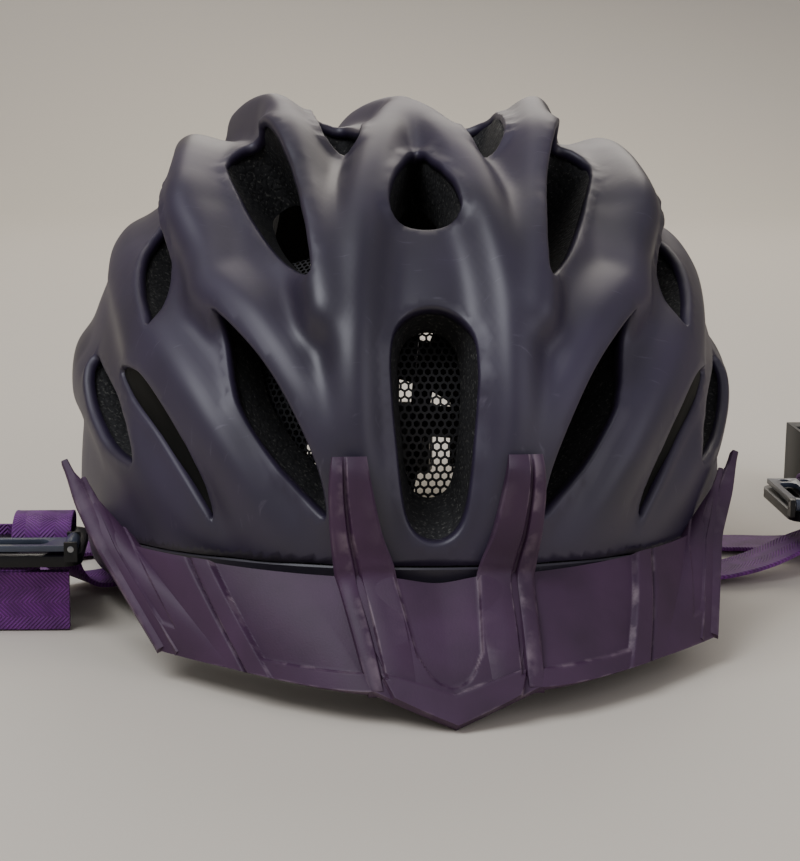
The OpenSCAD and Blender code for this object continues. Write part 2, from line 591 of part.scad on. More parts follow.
grips = 18;
module dial_knob() color("#26262a") place() translate([0, knob_y, ring_z]) rotate([-90, 0, 0]) difference() {
    union() {
        cylinder(r = dial_r, h = dial_h - 1.5);
        translate([0, 0, dial_h - 1.5]) cylinder(r1 = dial_r, r2 = dial_r - 1.5, h = 1.5);
    }
    for (k = [0:grips - 1]) rotate([0, 0, k * 360 / grips]) translate([dial_r + 0.6, 0, -1])
        cylinder(r = 1.5, h = dial_h + 2, $fn = 24);
    translate([0, 0, -1]) cylinder(r = shaft_r + 0.04, h = dial_h - 4 + 1 + 0.1);
    translate([0, 0, -1]) cylinder(r = dial_r - 4, h = 3.4);
    cylinder(r = screw_r + 0.2, h = dial_h + 1);
    translate([0, 0, dial_h - 2]) cylinder(r = 3.2, h = 3);
}
module dial_screw() color("#8b8d90") place() translate([0, knob_y + dial_h, ring_z]) rotate([90, 0, 0]) {
    translate([0, 0, 0.3]) cylinder(r = 3, h = 1.7);
    translate([0, 0, 1.5]) cylinder(r = screw_r - 0.05, h = 2.4);
}
module click_spring() color("#9a9ca0") place() translate([0, cover_y + 0.5, ring_z]) rotate([-90, 0, 0]) {
    rotate([0, 0, 20]) rotate_extrude(angle = 140) translate([7, 0]) square([0.8, 2]);
    rotate([0, 0, 90]) translate([7.4, -1, 0]) cube([1.6, 2, 2]);
}

module stem_seat() translate([0, shell_l / 2 - foam_t - 6, stem_slot_z]) rotate([-90, 0, 0])
    cylinder(r = 5 + fit_gap, h = 18 + fit_gap, $fn = 24);
module stem_pin() color("#3a3a3e") place() translate([0, stem_y - 0.4 - slide_gap, stem_slot_z]) rotate([-90, 0, 0]) {
    translate([0, 0, -1.8]) cylinder(r = 4.6, h = 1.8);
    translate([0, 0, -0.5]) cylinder(r = stem_pin_r, h = shell_l / 2 - foam_t + 3.5 - stem_y);
    translate([0, 0, shell_l / 2 - foam_t + 0.8 - stem_y + slide_gap + 0.4]) cylinder(r = 5, h = 9);
}
module nape_pad(side) color("#1d1b20") place() on_side(side)
    band(cradle_r - guide_t - 5.4, cradle_r - guide_t - 0.4, ring_z - guide_h + 4, ring_z + guide_h + 4, 53, 65);
module nape_pad_left() nape_pad(-1);
module nape_pad_right() nape_pad(1);

// ---- Straps, dividers and buckle ----

STRAP_ANGLES = [74, 100];
anchor = [strap_w + 5, 6, 9];
module at_strap(psi) let (p = wall_point(psi, edge_z(psi), -foam_t / 2))
    translate([p.x, p.y, edge_z(psi) + 12]) rotate([0, 0, psi]) children();
module strap_anchor_seat(psi) at_strap(psi) {
    translate([-anchor.x / 2 - fit_gap, -anchor.y / 2 - fit_gap, -fit_gap])
        cube([anchor.x + 2 * fit_gap, anchor.y + 2 * fit_gap, anchor.z + 2 * fit_gap]);
    translate([-strap_w / 2 - 0.6, -strap_t / 2 - 0.6, -30]) cube([strap_w + 1.2, strap_t + 1.2, 31]);
}
module strap_anchors() color("#2d2a30") place() for (side = [-1, 1], psi = STRAP_ANGLES) at_strap(side * psi) difference() {
    translate(-[anchor.x / 2, anchor.y / 2, 0]) cube(anchor);
    translate([-strap_w / 2 - 0.15, -strap_t / 2 - 0.15, -1]) cube([strap_w + 0.3, strap_t + 0.3, anchor.z - 1]);
}
// The stretch of a strap from its anchor to under the edge
function strap_root(psi) = let (
        p = wall_point(psi, edge_z(psi), -foam_t / 2), w = [cos(psi), sin(psi), 0], z = edge_z(psi) + 12)
    [[[p.x, p.y, z + anchor.z - 2.5], w], [[p.x, p.y, z - 1], w], [[p.x, p.y, 7], w]];

// Routes of the straps as they lie on the table: each point with the direction of the webbing's width.
// A point is its distance out from the shell's side, back from the shell's middle, and up.
// The chin straps stand on edge, and their points are up from half the webbing's width.
FRONT_LEFT = [
    [[-19, -25.5, 5], [0.28, -0.96, 0]], [[-14, -28, 3.2], [0.35, -0.94, 0]],
    [[-5, -34, 4.2], [0.55, -0.83, 0]], [[1.5, -38.5, 10], [0.8, -0.6, 0]],
    [[5, -40.5, 20], [1, -0.1, 0]], [[5, -46, 28.5], [1, 0, 0]], [[5, -57, 30.5], [1, 0, 0]],
    [[5, -65, 28.5], [1, 0, 0]], [[5, -67.4, 24.5], [1, 0, 0]], [[5, -67.5, 20], [1, 0, 0]]];
REAR_LEFT = [
    [[-18.6, 15.6, 3.6], [-0.17, -0.98, 0]], [[-14, 15.5, 2.2], [0, -1, 0]],
    [[-6, 14.5, 2.1], [0.3, -0.95, 0]], [[4, 10, 2.1], [0.6, -0.8, 0]],
    [[12, 0, 2.6], [0.95, -0.3, 0]], [[15.5, -13, 3], [1, 0, 0]], [[16, -28, 4], [1, 0, 0]],
    [[16, -44, 7], [1, 0, 0]], [[16, -51.5, 12], [1, 0, 0]], [[16, -53.5, 19], [1, 0, 0]],
    [[16, -53.5, 27], [1, 0, 0]]];
FRONT_RIGHT = [
    [[-19, -25.5, 5], [0.28, 0.96, 0]], [[-14, -26.5, 3.2], [0.2, 0.98, 0]],
    [[-2, -26.5, 3.4], [0, 1, 0]], [[12, -22, 5.5], [-0.15, 0.99, 0]],
    [[26, -14, 9], [-0.1, 0.99, 0]], [[35, -10, 12], [0, 1, 0]], [[38.2, -9.5, 16], [0, 1, 0]],
    [[38.5, -9.5, 22], [0, 1, 0]], [[38.5, -9.5, 26], [0, 1, 0]]];
REAR_RIGHT = [
    [[-18.6, 15.6, 3.6], [-0.17, 0.98, 0]], [[-14, 15.5, 2.2], [-0.15, 0.99, 0]],
    [[0, 15, 2.1], [0, 1, 0]], [[14, 14, 2.2], [0, 1, 0]], [[28, 10, 3], [0.1, 0.99, 0]],
    [[42, 4, 6], [0.1, 1, 0]], [[50.5, 1.5, 11], [0, 1, 0]], [[52.5, 1.5, 17], [0, 1, 0]],
    [[52.5, 1.5, 26], [0, 1, 0]]];
TAIL_LEFT = [
    [[-4, -77, 0.4], [0, 0, 1]], [[20, -76.5, 0.4], [0, 0, 1]], [[40, -72.5, 0.4], [0, 0, 1]],
    [[56, -60.5, 0.8], [0, 0, 1]], [[63, -38.5, 1.6], [0, 0, 1]], [[63, -18.5, 2], [0, 0, 1]]];
TAIL_RIGHT = [
    [[36.5 + strap_w / 2, 12.5, 23.5 - strap_w / 2], [1, 0, 0]],
    [[36.5 + strap_w / 2, 21.5, 24 - strap_w / 2], [1, 0, 0]], [[47, 29.5, 11], [0.9, 0, 0.3]],
    [[54, 37.5, 4.5], [0.5, -0.3, 0.8]], [[61, 47.5, 2.2], [0, 0, 1]], [[63, 57.5, 2.2], [0, 0, 1]],
    [[63, 77.5, 2.2], [0, 0, 1]], [[63, 97.5, 2.2], [0, 0, 1]]];

function laid(route, side, lift = 0) = [for (r = route) [[side * (shell_w / 2 + r[0].x), r[0].y, r[0].z + lift], r[1]]];
module strap(psi, route) color("#5b2a6b") place()
    webbing(concat(strap_root(psi), laid(route, psi > 0 ? 1 : -1)), strap_w, strap_t);
module front_strap_left() strap(-STRAP_ANGLES[0], FRONT_LEFT);
module rear_strap_left() strap(-STRAP_ANGLES[1], REAR_LEFT);
module front_strap_right() strap(STRAP_ANGLES[0], FRONT_RIGHT);
module rear_strap_right() strap(STRAP_ANGLES[1], REAR_RIGHT);
// A chin strap is two layers of webbing
module chin_strap(route, side) color("#5b2a6b") place() webbing(laid(route, side, strap_w / 2), strap_w, 2 * strap_t);
module chin_strap_left() chin_strap(TAIL_LEFT, -1);
module chin_strap_right() chin_strap(TAIL_RIGHT, 1);

divider_size = [strap_w + 26, 38];
// Middle of each divider: out from the shell's side, back from the shell's middle, and up
LEFT_DIVIDER = [14, -64, strap_w + 4.6];
RIGHT_DIVIDER = [42, -0.5, 20];
front_slot = [9, -3.5];
rear_slot = [-2, 10.5];
lever_size = [38, 10.5];
lever_pin_at = [divider_size.x / 2 - 3, -12.2, divider_t / 2 + 2.3];
barrel_r = lever_pin_r + 1.1;
ear_t = 1.6;
module beside(at, side) place() translate([side * (shell_w / 2 + at.x), at.y, at.z]) children();
module on_left() beside(LEFT_DIVIDER, -1) children();
module on_right() beside(RIGHT_DIVIDER, 1) rotate([0, 0, -90]) children();
module slot(at, length, height) translate(at) {
    square([length - height, height], center = true);
    for (x = [-1, 1]) translate([x * (length - height) / 2, 0]) circle(d = height);
}
module round_plate(size, r) {
    square([size.x - 2 * r, size.y], center = true);
    square([size.x, size.y - 2 * r], center = true);
    for (x = [-1, 1], y = [-1, 1]) translate([x * (size.x / 2 - r), y * (size.y / 2 - r)]) circle(r = r);
}
module divider() color("#1d1e20") difference() {
    union() {
        translate([0, 0, -divider_t / 2]) linear_extrude(divider_t) difference() {
            round_plate(divider_size, 6);
            slot(front_slot, strap_w + 3.5, strap_t + 2);
            slot(rear_slot, strap_w + 3.5, strap_t + 2);
            slot([-6, lever_pin_at.y], 20, 5);
        }
        for (y = [-1, 1]) translate([lever_pin_at.x, lever_pin_at.y + y * (lever_size.y / 2 + slide_gap + ear_t / 2), 0])
            translate([-2, -ear_t / 2, 0]) cube([4, ear_t, lever_pin_at.z + 2]);
    }
    lever_pin_form(lever_pin_r);
}
module lever_pin_form(r) translate(lever_pin_at) rotate([90, 0, 0])
    translate([0, 0, -lever_size.y / 2 - slide_gap - ear_t]) cylinder(r = r, h = lever_size.y + 2 * slide_gap + 2 * ear_t);
module lever() color("#3c4250") difference() {
    union() {
        translate([lever_pin_at.x - lever_size.x, lever_pin_at.y - lever_size.y / 2, lever_pin_at.z - 1.2])
            cube([lever_size.x, lever_size.y, 1.8]);
        translate(lever_pin_at) rotate([90, 0, 0]) translate([0, 0, -lever_size.y / 2]) cylinder(r = barrel_r, h = lever_size.y);
    }
    translate(lever_pin_at) rotate([90, 0, 0]) translate([0, 0, -10]) cylinder(r = lever_pin_r + run_gap, h = 20);
    translate([0, 0, lever_pin_at.z - 3]) linear_extrude(6) {
        slot([0, lever_pin_at.y], 24, 6);
        translate([-15.5, lever_pin_at.y]) circle(r = 1.6);
    }
}
module divider_left() on_left() divider();
module divider_right() on_right() divider();
module lever_left() on_left() lever();
module lever_right() on_right() lever();
module lever_pins() color("#8b8d90") {
    on_left() lever_pin_form(lever_pin_r - 0.01);
    on_right() lever_pin_form(lever_pin_r - 0.01);
}

buckle_w = strap_w + 4;
buckle_t = 6;
PLUG = [63, -20.5, buckle_w / 2 + 0.2];
SOCKET = [63, 93.5, buckle_w / 2 + 1.2];
prong_reach = 20;
module buckle_plug() color("#1d1e20") beside(PLUG, -1) {
    difference() {
        translate([-buckle_t / 2, 0, -buckle_w / 2]) cube([buckle_t, 14, buckle_w]);
        translate([-strap_t - 0.3, -1, -strap_w / 2 - 0.6]) cube([2 * strap_t + 0.6, 7, strap_w + 1.2]);
    }
    for (z = [-1, 1]) {
        translate([-1.6, 13, z * 7.5 - 1.5]) cube([3.2, prong_reach, 3]);
        translate([-1.6, 8 + prong_reach, z > 0 ? 7.5 : -10.5]) cube([3.2, 5, 3]);
    }
    translate([-1.2, 13, -2]) cube([2.4, prong_reach - 4, 4]);
}
module buckle_socket() color("#1d1e20") beside(SOCKET, 1) difference() {
    translate([-buckle_t / 2 - 1, 0, -buckle_w / 2 - 1]) cube([buckle_t + 2, 30, buckle_w + 2]);
    translate([-strap_t - 0.3, -1, -strap_w / 2 - 1.6]) cube([2 * strap_t + 0.6, 6.5, strap_w + 2.2]);
    translate([-2.5, 8, -buckle_w / 2 + 0.2]) cube([5, 23, buckle_w - 0.4]);
    for (z = [-1, 1]) translate([-2.5, 12, z * buckle_w / 2 - 4]) cube([5, 8, 8]);
}
KEEPER = [63, 55.5, buckle_w / 2 + 0.2];
CHIN_PAD = [63, 65.5, buckle_w / 2 + 0.2];
module strap_keeper() color("#232326") beside(KEEPER, 1) difference() {
    translate([-strap_t - 1.8, 0, -strap_w / 2 - 1.8]) cube([2 * strap_t + 3.6, 5, strap_w + 3.6]);
    translate([-strap_t - 0.4, -1, -strap_w / 2 - 0.4]) cube([2 * strap_t + 0.8, 7, strap_w + 0.8]);
}
module chin_pad() color("#1d1b20") beside(CHIN_PAD, 1) difference() {
    translate([-strap_t - 2.2, 0, -strap_w / 2 - 2]) cube([2 * strap_t + 4.4, 24, strap_w + 4]);
    translate([-strap_t - 0.2, -1, -strap_w / 2 - 0.2]) cube([2 * strap_t + 0.4, 26, strap_w + 0.4]);
}

outer_shell();
rim_wrap();
foam_liner();
side_insert_left();
side_insert_right();
insect_net();
visor();
visor_studs();
visor_sockets();
brow_pad();
crown_pad_left();
crown_pad_right();
side_pad_left();
side_pad_right();
nape_pad_left();
nape_pad_right();
ring_arm_left();
ring_arm_right();
pivot_sockets();
pivot_pins();
belt_left();
belt_right();
cradle();
dial_cover();
cover_screws();
dial_pinion();
dial_knob();
dial_screw();
click_spring();
stem_pin();
strap_anchors();
front_strap_left();
front_strap_right();
rear_strap_left();
rear_strap_right();
divider_left();
divider_right();
lever_left();
lever_right();
lever_pins();
chin_strap_left();
chin_strap_right();
buckle_plug();
buckle_socket();
strap_keeper();
chin_pad();
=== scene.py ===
# %% [markdown]
# # A vented cycling helmet, piece by piece
# This lesson dresses a working model of an off-road helmet. The working model, called the frame, says where each
# part is and how it moves. Every cell makes one piece or one finish, in metres, in the frame's own axes:
# +Z up, brow and visor towards -Y.

# %% Load the frame
import math
import bpy
import bmesh
import numpy as np
from mathutils import Matrix, Vector
from mathutils.geometry import delaunay_2d_cdt


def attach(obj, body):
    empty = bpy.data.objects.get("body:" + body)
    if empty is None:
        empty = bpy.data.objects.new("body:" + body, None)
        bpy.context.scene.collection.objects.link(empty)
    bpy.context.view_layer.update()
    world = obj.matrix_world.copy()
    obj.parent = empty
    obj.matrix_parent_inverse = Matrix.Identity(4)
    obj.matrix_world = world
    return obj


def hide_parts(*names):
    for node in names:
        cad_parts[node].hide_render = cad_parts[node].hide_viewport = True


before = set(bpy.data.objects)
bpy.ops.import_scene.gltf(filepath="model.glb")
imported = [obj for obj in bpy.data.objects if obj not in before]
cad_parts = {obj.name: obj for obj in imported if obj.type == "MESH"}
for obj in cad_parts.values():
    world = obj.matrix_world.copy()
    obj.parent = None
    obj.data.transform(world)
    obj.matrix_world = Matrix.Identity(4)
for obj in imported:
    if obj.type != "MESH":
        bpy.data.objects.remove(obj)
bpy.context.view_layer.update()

# %% [markdown]
# The driving sizes of the helmet, in millimetres, are the ones that the frame was built from. The shell is a smooth
# form, half an ellipsoid above its widest line and steeper below it, with ridges and valleys laid over it.

# %% Driving sizes
MM = 0.001
SHELL_W, SHELL_L, CROWN_H, BELT_Z, SKIRT_H = 216, 286, 97, 60, 160
SHELL_T, FOAM_T, RELIEF = 1.2, 27, 9
BROW_Z, EAR_Z, NAPE_Z, EAR_ANGLE, LOBE_ANGLE, WRAP_H, LIP_W = 22, 9, 44, 85, 130, 14, 10
VISOR_T, VISOR_REACH, VISOR_TOP_Z, VISOR_LOW_Z, VISOR_YAW = 2.2, 29, 33, 8, 3
PRONG_TOP_Z, PRONG_X, PRONG_LOW_X = 67, 24, 19
STRAP_W = 18
MIDDLE = np.array([0, VISOR_REACH / 2, 0])

# %% [markdown]
# The camera comes first. It stands 0.7 m in front of the shell, a little to the left and above, with a long lens.
# Its aim is a point inside the shell, which is kept a little left of and above the picture's middle.

# %% Camera
WIDTH_PX, HEIGHT_PX, FOCAL_PX, SENSOR = 800, 861, 2090, 36
AIM_PX = (397, 359)
azimuth, elevation, roll, distance = math.radians(-4.5), math.radians(9.3), math.radians(0.8), 0.7
aim = Vector((0, VISOR_REACH / 2, 70)) * MM
level = math.cos(elevation)
back = Vector((math.sin(azimuth) * level, -math.cos(azimuth) * level, math.sin(elevation)))
right = (-back).cross(Vector((0, 0, 1))).normalized()
up = right.cross(-back)
shift_x, shift_y = (AIM_PX[0] - WIDTH_PX / 2) / FOCAL_PX, (HEIGHT_PX / 2 - AIM_PX[1]) / FOCAL_PX
ahead = (-back - shift_x * right - shift_y * up).normalized()
right = ahead.cross(Vector((0, 0, 1))).normalized()
up = right.cross(ahead)
rolled_right = math.cos(roll) * right + math.sin(roll) * up
rolled_up = math.cos(roll) * up - math.sin(roll) * right
lens = bpy.data.cameras.new("camera")
lens.sensor_fit = "HORIZONTAL"
lens.sensor_width = SENSOR
lens.lens = FOCAL_PX / WIDTH_PX * SENSOR
lens.clip_start = 0.01
camera = bpy.data.objects.new("camera", lens)
bpy.context.scene.collection.objects.link(camera)
facing = Matrix((rolled_right, rolled_up, -ahead)).transposed()
camera.matrix_world = Matrix.Translation(aim + back * distance) @ facing.to_4x4()
bpy.context.scene.camera = camera
print("camera at", [round(c, 3) for c in camera.location], "lens", round(lens.lens, 1), "mm")

# %% [markdown]
# Finishes are node trees. One helper adds a node with its settings and links, and one turns a colour written as on
# a paint card into the linear values that Blender mixes.

# %% Helpers for finishes
def linear(hex_colour):
    values = [int(hex_colour[i:i + 2], 16) / 255 for i in (1, 3, 5)]
    return tuple(v / 12.92 if v <= 0.04045 else ((v + 0.055) / 1.055) ** 2.4 for v in values) + (1,)


def add(tree, kind, inputs=None, **settings):
    made = tree.nodes.new(kind)
    for name, value in settings.items():
        setattr(made, name, value)
    for name, value in (inputs or {}).items():
        if isinstance(value, bpy.types.NodeSocket):
            tree.links.new(value, made.inputs[name])
        else:
            made.inputs[name].default_value = value
    return made


def finish(name, roughness, **constants):
    made = bpy.data.materials.new(name)
    made.use_nodes = True
    tree = made.node_tree
    shader = tree.nodes["Principled BSDF"]
    shader.inputs["Roughness"].default_value = roughness
    for key, value in constants.items():
        shader.inputs[key.replace("_", " ").title().replace("Ior", "IOR")].default_value = value
    return made, tree, shader


def blend(tree, factor, dark, light):
    """A colour between two, by a factor from 0 to 1."""
    ramp = add(tree, "ShaderNodeValToRGB", {"Fac": factor})
    ramp.color_ramp.elements[0].color = linear(dark)
    ramp.color_ramp.elements[1].color = linear(light)
    return ramp.outputs["Color"]


def overlay(tree, factor, under, over):
    """A colour laid over another where the factor is high."""
    inputs = {"Factor": factor, "A": under, "B": linear(over)}
    return add(tree, "ShaderNodeMix", inputs, data_type="RGBA").outputs["Result"]


def cut(tree, value, low, high):
    """Stretches the part of a value between low and high to 0 to 1."""
    return add(tree, "ShaderNodeMapRange", {"Value": value, "From Min": low, "From Max": high}).outputs["Result"]


def calc(tree, operation, *values):
    return add(tree, "ShaderNodeMath", dict(enumerate(values)), operation=operation).outputs[0]


def on_object(tree):
    return add(tree, "ShaderNodeTexCoord").outputs["Object"]


def per_metre(size_mm):
    """A texture's scale, so that one of its features is this many millimetres across."""
    return 1 / (size_mm * MM)


def noise(tree, place, size_mm, detail=2.0):
    inputs = {"Vector": place, "Scale": per_metre(size_mm), "Detail": detail}
    return add(tree, "ShaderNodeTexNoise", inputs).outputs["Fac"]


def cells(tree, place, size_mm, feature):
    inputs = {"Vector": place, "Scale": per_metre(size_mm)}
    return add(tree, "ShaderNodeTexVoronoi", inputs, feature=feature).outputs["Distance"]


def paint(tree, shader, colour):
    tree.links.new(colour, shader.inputs["Base Color"])


def bump(tree, shader, height, depth_mm):
    made = add(tree, "ShaderNodeBump", {"Height": height, "Distance": depth_mm * MM, "Strength": 1.0})
    tree.links.new(made.outputs["Normal"], shader.inputs["Normal"])


print("mid grey in linear light:", round(linear("#808080")[0], 3))

# %% [markdown]
# The outer shell is a thin polycarbonate film, formed with heat and moulded onto the foam. It is satin rather than
# glossy, with a cool violet-grey colour, cloudy rub marks and fine scratches from years of use. The marks are noise
# stretched one way, cut off so that only its peaks show.

# %% Shell film
def worn_film(name, dark, light, scratch, roughness):
    made, tree, shader = finish(name, roughness, coat_weight=0.06, coat_roughness=0.35, ior=1.58)
    place = on_object(tree)
    cloud = noise(tree, place, 45, 3.0)
    tone = blend(tree, cut(tree, cloud, 0.35, 0.7), dark, light)
    turned = add(tree, "ShaderNodeMapping", {"Vector": place, "Rotation": (0.4, 0.3, 0.7), "Scale": (1, 9, 1)})
    marks = cut(tree, noise(tree, turned.outputs["Vector"], 9, 6.0), 0.66, 0.78)
    paint(tree, shader, overlay(tree, calc(tree, "MULTIPLY", marks, 0.3), tone, scratch))
    span = {"From Min": 0.3, "From Max": 0.7, "To Min": roughness - 0.06, "To Max": roughness + 0.09}
    rough = add(tree, "ShaderNodeMapRange", {"Value": cloud, **span})
    tree.links.new(rough.outputs["Result"], shader.inputs["Roughness"])
    bump(tree, shader, noise(tree, place, 14), 0.12)
    return made


shell_film = worn_film("satin_polycarbonate_film_violet_grey", "#1f192b", "#2e253d", "#6a6474", 0.46)
wrap_film = worn_film("satin_polycarbonate_film_dark", "#1a1622", "#262130", "#524c58", 0.46)
print("shell films:", shell_film.name, wrap_film.name)

# %% [markdown]
# The liner is expanded polystyrene. Beads of foam about 3 mm across are steamed together in a mould, so its surface
# shows packed cells with fine dark seams, and rubbed spots are grey. Cells come from a Voronoi texture.

# %% Bead foam
BEAD = 2.4


def bead_foam():
    made, tree, shader = finish("expanded_polystyrene_black", 0.75)
    place = on_object(tree)
    base = blend(tree, cut(tree, cells(tree, place, BEAD, "F1"), 0.0, 0.9), "#1b1b1c", "#0b0b0c")
    specks = cut(tree, noise(tree, place, 0.9, 3.0), 0.58, 0.72)
    paint(tree, shader, overlay(tree, specks, base, "#555550"))
    bump(tree, shader, cut(tree, cells(tree, place, BEAD, "DISTANCE_TO_EDGE"), 0.0, 0.3), 0.12)
    return made


foam_finish = bead_foam()
print("foam finish:", foam_finish.name)

# %% [markdown]
# Injection-moulded plastics and rubbers differ in colour, gloss and the fine grain of the mould. One function makes
# them all: a grain bump of a real size in millimetres, and a slight change of tone over the part.

# %% Moulded plastics and metals
def moulded(name, dark, light, roughness, grain_mm=0.9, grain_depth=0.008, **constants):
    made, tree, shader = finish(name, roughness, **constants)
    place = on_object(tree)
    paint(tree, shader, blend(tree, cut(tree, noise(tree, place, 20, 3.0), 0.35, 0.65), dark, light))
    bump(tree, shader, noise(tree, place, grain_mm), grain_depth)
    return made


insert_rubber = moulded("smooth_olive_black_rubber", "#070806", "#0e0e0b", 0.75, 0.8, 0.01, specular_ior_level=0.15)
clip_nylon = moulded("moulded_nylon_charcoal", "#242228", "#2e2b33", 0.5)
ring_nylon = moulded("moulded_nylon_black", "#202023", "#29292d", 0.48)
net_nylon = moulded("woven_nylon_net_black", "#131315", "#1c1c1f", 0.6)
dial_rubber = moulded("soft_touch_rubber_black", "#1c1c1f", "#252528", 0.65, 0.4, 0.05)
divider_black = moulded("glossy_acetal_black", "#08080a", "#0e0e11", 0.35, specular_ior_level=0.35)
lever_slate = moulded("glossy_acetal_slate", "#363c4a", "#424958", 0.28)
buckle_acetal = moulded("satin_acetal_black", "#0a0a0c", "#111114", 0.5, specular_ior_level=0.3)
zinc_steel = moulded("zinc_plated_steel", "#8b8d90", "#a3a5a8", 0.3, 0.3, 0.01, metallic=1.0)
print("hard finishes:", [m.name for m in bpy.data.materials if "_" in m.name and "film" not in m.name])

# %% [markdown]
# The visor is a thin nylon moulding in dull plum. Its sharp edges have been rubbed pale where it was packed against
# other things. A vertex attribute named wear, painted when the mesh is made, says where the edges are, and noise
# breaks the pale colour into streaks.

# %% Visor nylon
def scuffed_nylon():
    made, tree, shader = finish("satin_nylon_plum_scuffed", 0.56, ior=1.45)
    place = on_object(tree)
    tone = blend(tree, cut(tree, noise(tree, place, 30, 4.0), 0.35, 0.68), "#341e35", "#452a47")
    wear = add(tree, "ShaderNodeAttribute", attribute_name="wear").outputs["Fac"]
    rubbed = calc(tree, "MULTIPLY", wear, cut(tree, noise(tree, place, 7, 5.0), 0.47, 0.62))
    paint(tree, shader, overlay(tree, rubbed, tone, "#86767f"))
    bump(tree, shader, noise(tree, place, 0.6), 0.04)
    return made


visor_nylon = scuffed_nylon()
print("visor finish:", visor_nylon.name)

# %% [markdown]
# Webbing is woven polyester. The chin straps show a herringbone: diagonal ribs that change direction every few
# millimetres. The pattern reads the strap's own UV map, whose U is the distance across and V the distance along,
# both in metres, so it follows every fold. The pads are brushed knit, soft enough to need sheen.

# %% Webbing and pad fabrics
def webbing_fabric(name, dark, light, rib_mm, turn_mm):
    made, tree, shader = finish(name, 0.62, sheen_weight=0.06, sheen_roughness=0.4)
    uv = add(tree, "ShaderNodeSeparateXYZ", {0: add(tree, "ShaderNodeUVMap", uv_map="UVMap").outputs["UV"]})
    slope = calc(tree, "ADD", uv.outputs["Y"], calc(tree, "PINGPONG", uv.outputs["X"], turn_mm * MM))
    rib = calc(tree, "SINE", calc(tree, "MULTIPLY", slope, 2 * math.pi * per_metre(rib_mm)))
    lint = noise(tree, on_object(tree), 6, 4.0)
    mixed = calc(tree, "MULTIPLY", cut(tree, rib, -1.4, 1.2), cut(tree, lint, 0.2, 0.75))
    paint(tree, shader, blend(tree, mixed, dark, light))
    bump(tree, shader, cut(tree, rib, -1, 1), 0.22)
    return made


def knit_fabric():
    made, tree, shader = finish("brushed_knit_over_foam_black", 0.85, sheen_weight=0.4, sheen_roughness=0.5)
    loops = cells(tree, on_object(tree), 0.9, "F1")
    paint(tree, shader, blend(tree, loops, "#26242a", "#141317"))
    bump(tree, shader, loops, -0.2)
    return made


strap_web = webbing_fabric("woven_polyester_webbing_violet", "#4a1458", "#8a2fa0", 1.3, 4.5)
pad_knit = knit_fabric()
print("fabrics:", strap_web.name, pad_knit.name)

# %% [markdown]
# Every piece is made from arrays of points and faces in helmet millimetres, whose zero is in the middle of the
# shell. One helper makes the mesh, moves it into the frame, shades it smooth and gives it its finish.

# %% Helpers for meshes
def piece(name, points, faces, material, smooth=True, uv=None, wear=None):
    mesh = bpy.data.meshes.new(name)
    places = (np.asarray(points, float) + MIDDLE) * MM
    mesh.from_pydata(places.tolist(), [], [tuple(int(i) for i in f) for f in faces])
    mesh.validate()
    mesh.materials.append(material)
    if uv is not None:
        layer = mesh.uv_layers.new(name="UVMap")
        corner = np.zeros(len(mesh.loops), int)
        mesh.loops.foreach_get("vertex_index", corner)
        layer.data.foreach_set("uv", (np.asarray(uv)[corner] * MM).ravel())
    if wear is not None:
        mesh.attributes.new("wear", "FLOAT", "POINT").data.foreach_set("value", np.asarray(wear, float))
    mesh.polygons.foreach_set("use_smooth", [smooth] * len(mesh.polygons))
    made = bpy.data.objects.new(name, mesh)
    bpy.context.scene.collection.objects.link(made)
    return made


def outward(made):
    """Turns the faces of a closed mesh outwards."""
    work = bmesh.new()
    work.from_mesh(made.data)
    bmesh.ops.recalc_face_normals(work, faces=work.faces)
    work.to_mesh(made.data)
    work.free()
    return made


def crisp(made, angle=35):
    """Smooth shading, with edges sharper than the angle left crisp."""
    made.data.set_sharp_from_angle(angle=math.radians(angle))
    return made


def settle(made, body, slot_name, *nodes):
    """The piece rides on a body and stands for frame parts, which it hides; its slot name is not used."""
    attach(made, body)
    if nodes:
        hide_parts(*nodes)
    return made


def tube(sections, ring=False, caps=True):
    """Points and faces of a solid through sections with the same number of points."""
    n, m = len(sections), len(sections[0])
    faces = []
    for i in range(n if ring else n - 1):
        a, b = i * m, (i + 1) % n * m
        faces += [(a + j, a + (j + 1) % m, b + (j + 1) % m, b + j) for j in range(m)]
    if caps and not ring:
        faces += [tuple(range(m))[::-1], tuple((n - 1) * m + j for j in range(m))]
    return np.concatenate(sections), faces


def curve(points, steps, closed=False):
    """A smooth curve through points of any width, several steps to a span."""
    p = np.asarray(points, float)
    n = len(p)
    out = []
    for i in range(n if closed else n - 1):
        a, b, c, d = [p[k % n] if closed else p[min(max(k, 0), n - 1)] for k in (i - 1, i, i + 1, i + 2)]
        for t in np.arange(steps) / steps:
            square, cube = 2 * a - 5 * b + 4 * c - d, 3 * b - a - 3 * c + d
            out.append(0.5 * (2 * b + (c - a) * t + square * t ** 2 + cube * t ** 3))
    return np.array(out if closed else out + [p[-1]])


def even(points, spacing, closed=False):
    """The same curve with evenly spaced points."""
    p = np.vstack([points, points[:1]]) if closed else np.asarray(points)
    run = np.concatenate([[0], np.cumsum(np.linalg.norm(np.diff(p, axis=0), axis=1))])
    count = max(8, int(round(run[-1] / spacing)))
    at = np.linspace(0, run[-1], count + 1)
    out = np.stack([np.interp(at, run, p[:, k]) for k in range(p.shape[1])], 1)
    return out[:-1] if closed else out


def joined(parts):
    """Several solids as one: their points, their faces and a value for each point."""
    points, faces, values, first = [], [], [], 0
    for p, f, v in parts:
        points.append(p)
        faces += [tuple(i + first for i in face) for face in f]
        values.append(v)
        first += len(p)
    return np.vstack(points), faces, np.concatenate(values)


print("a round of 4 points, 8 steps each:", len(curve([(0, 0), (1, 0), (1, 1), (0, 1)], 8, closed=True)), "points")

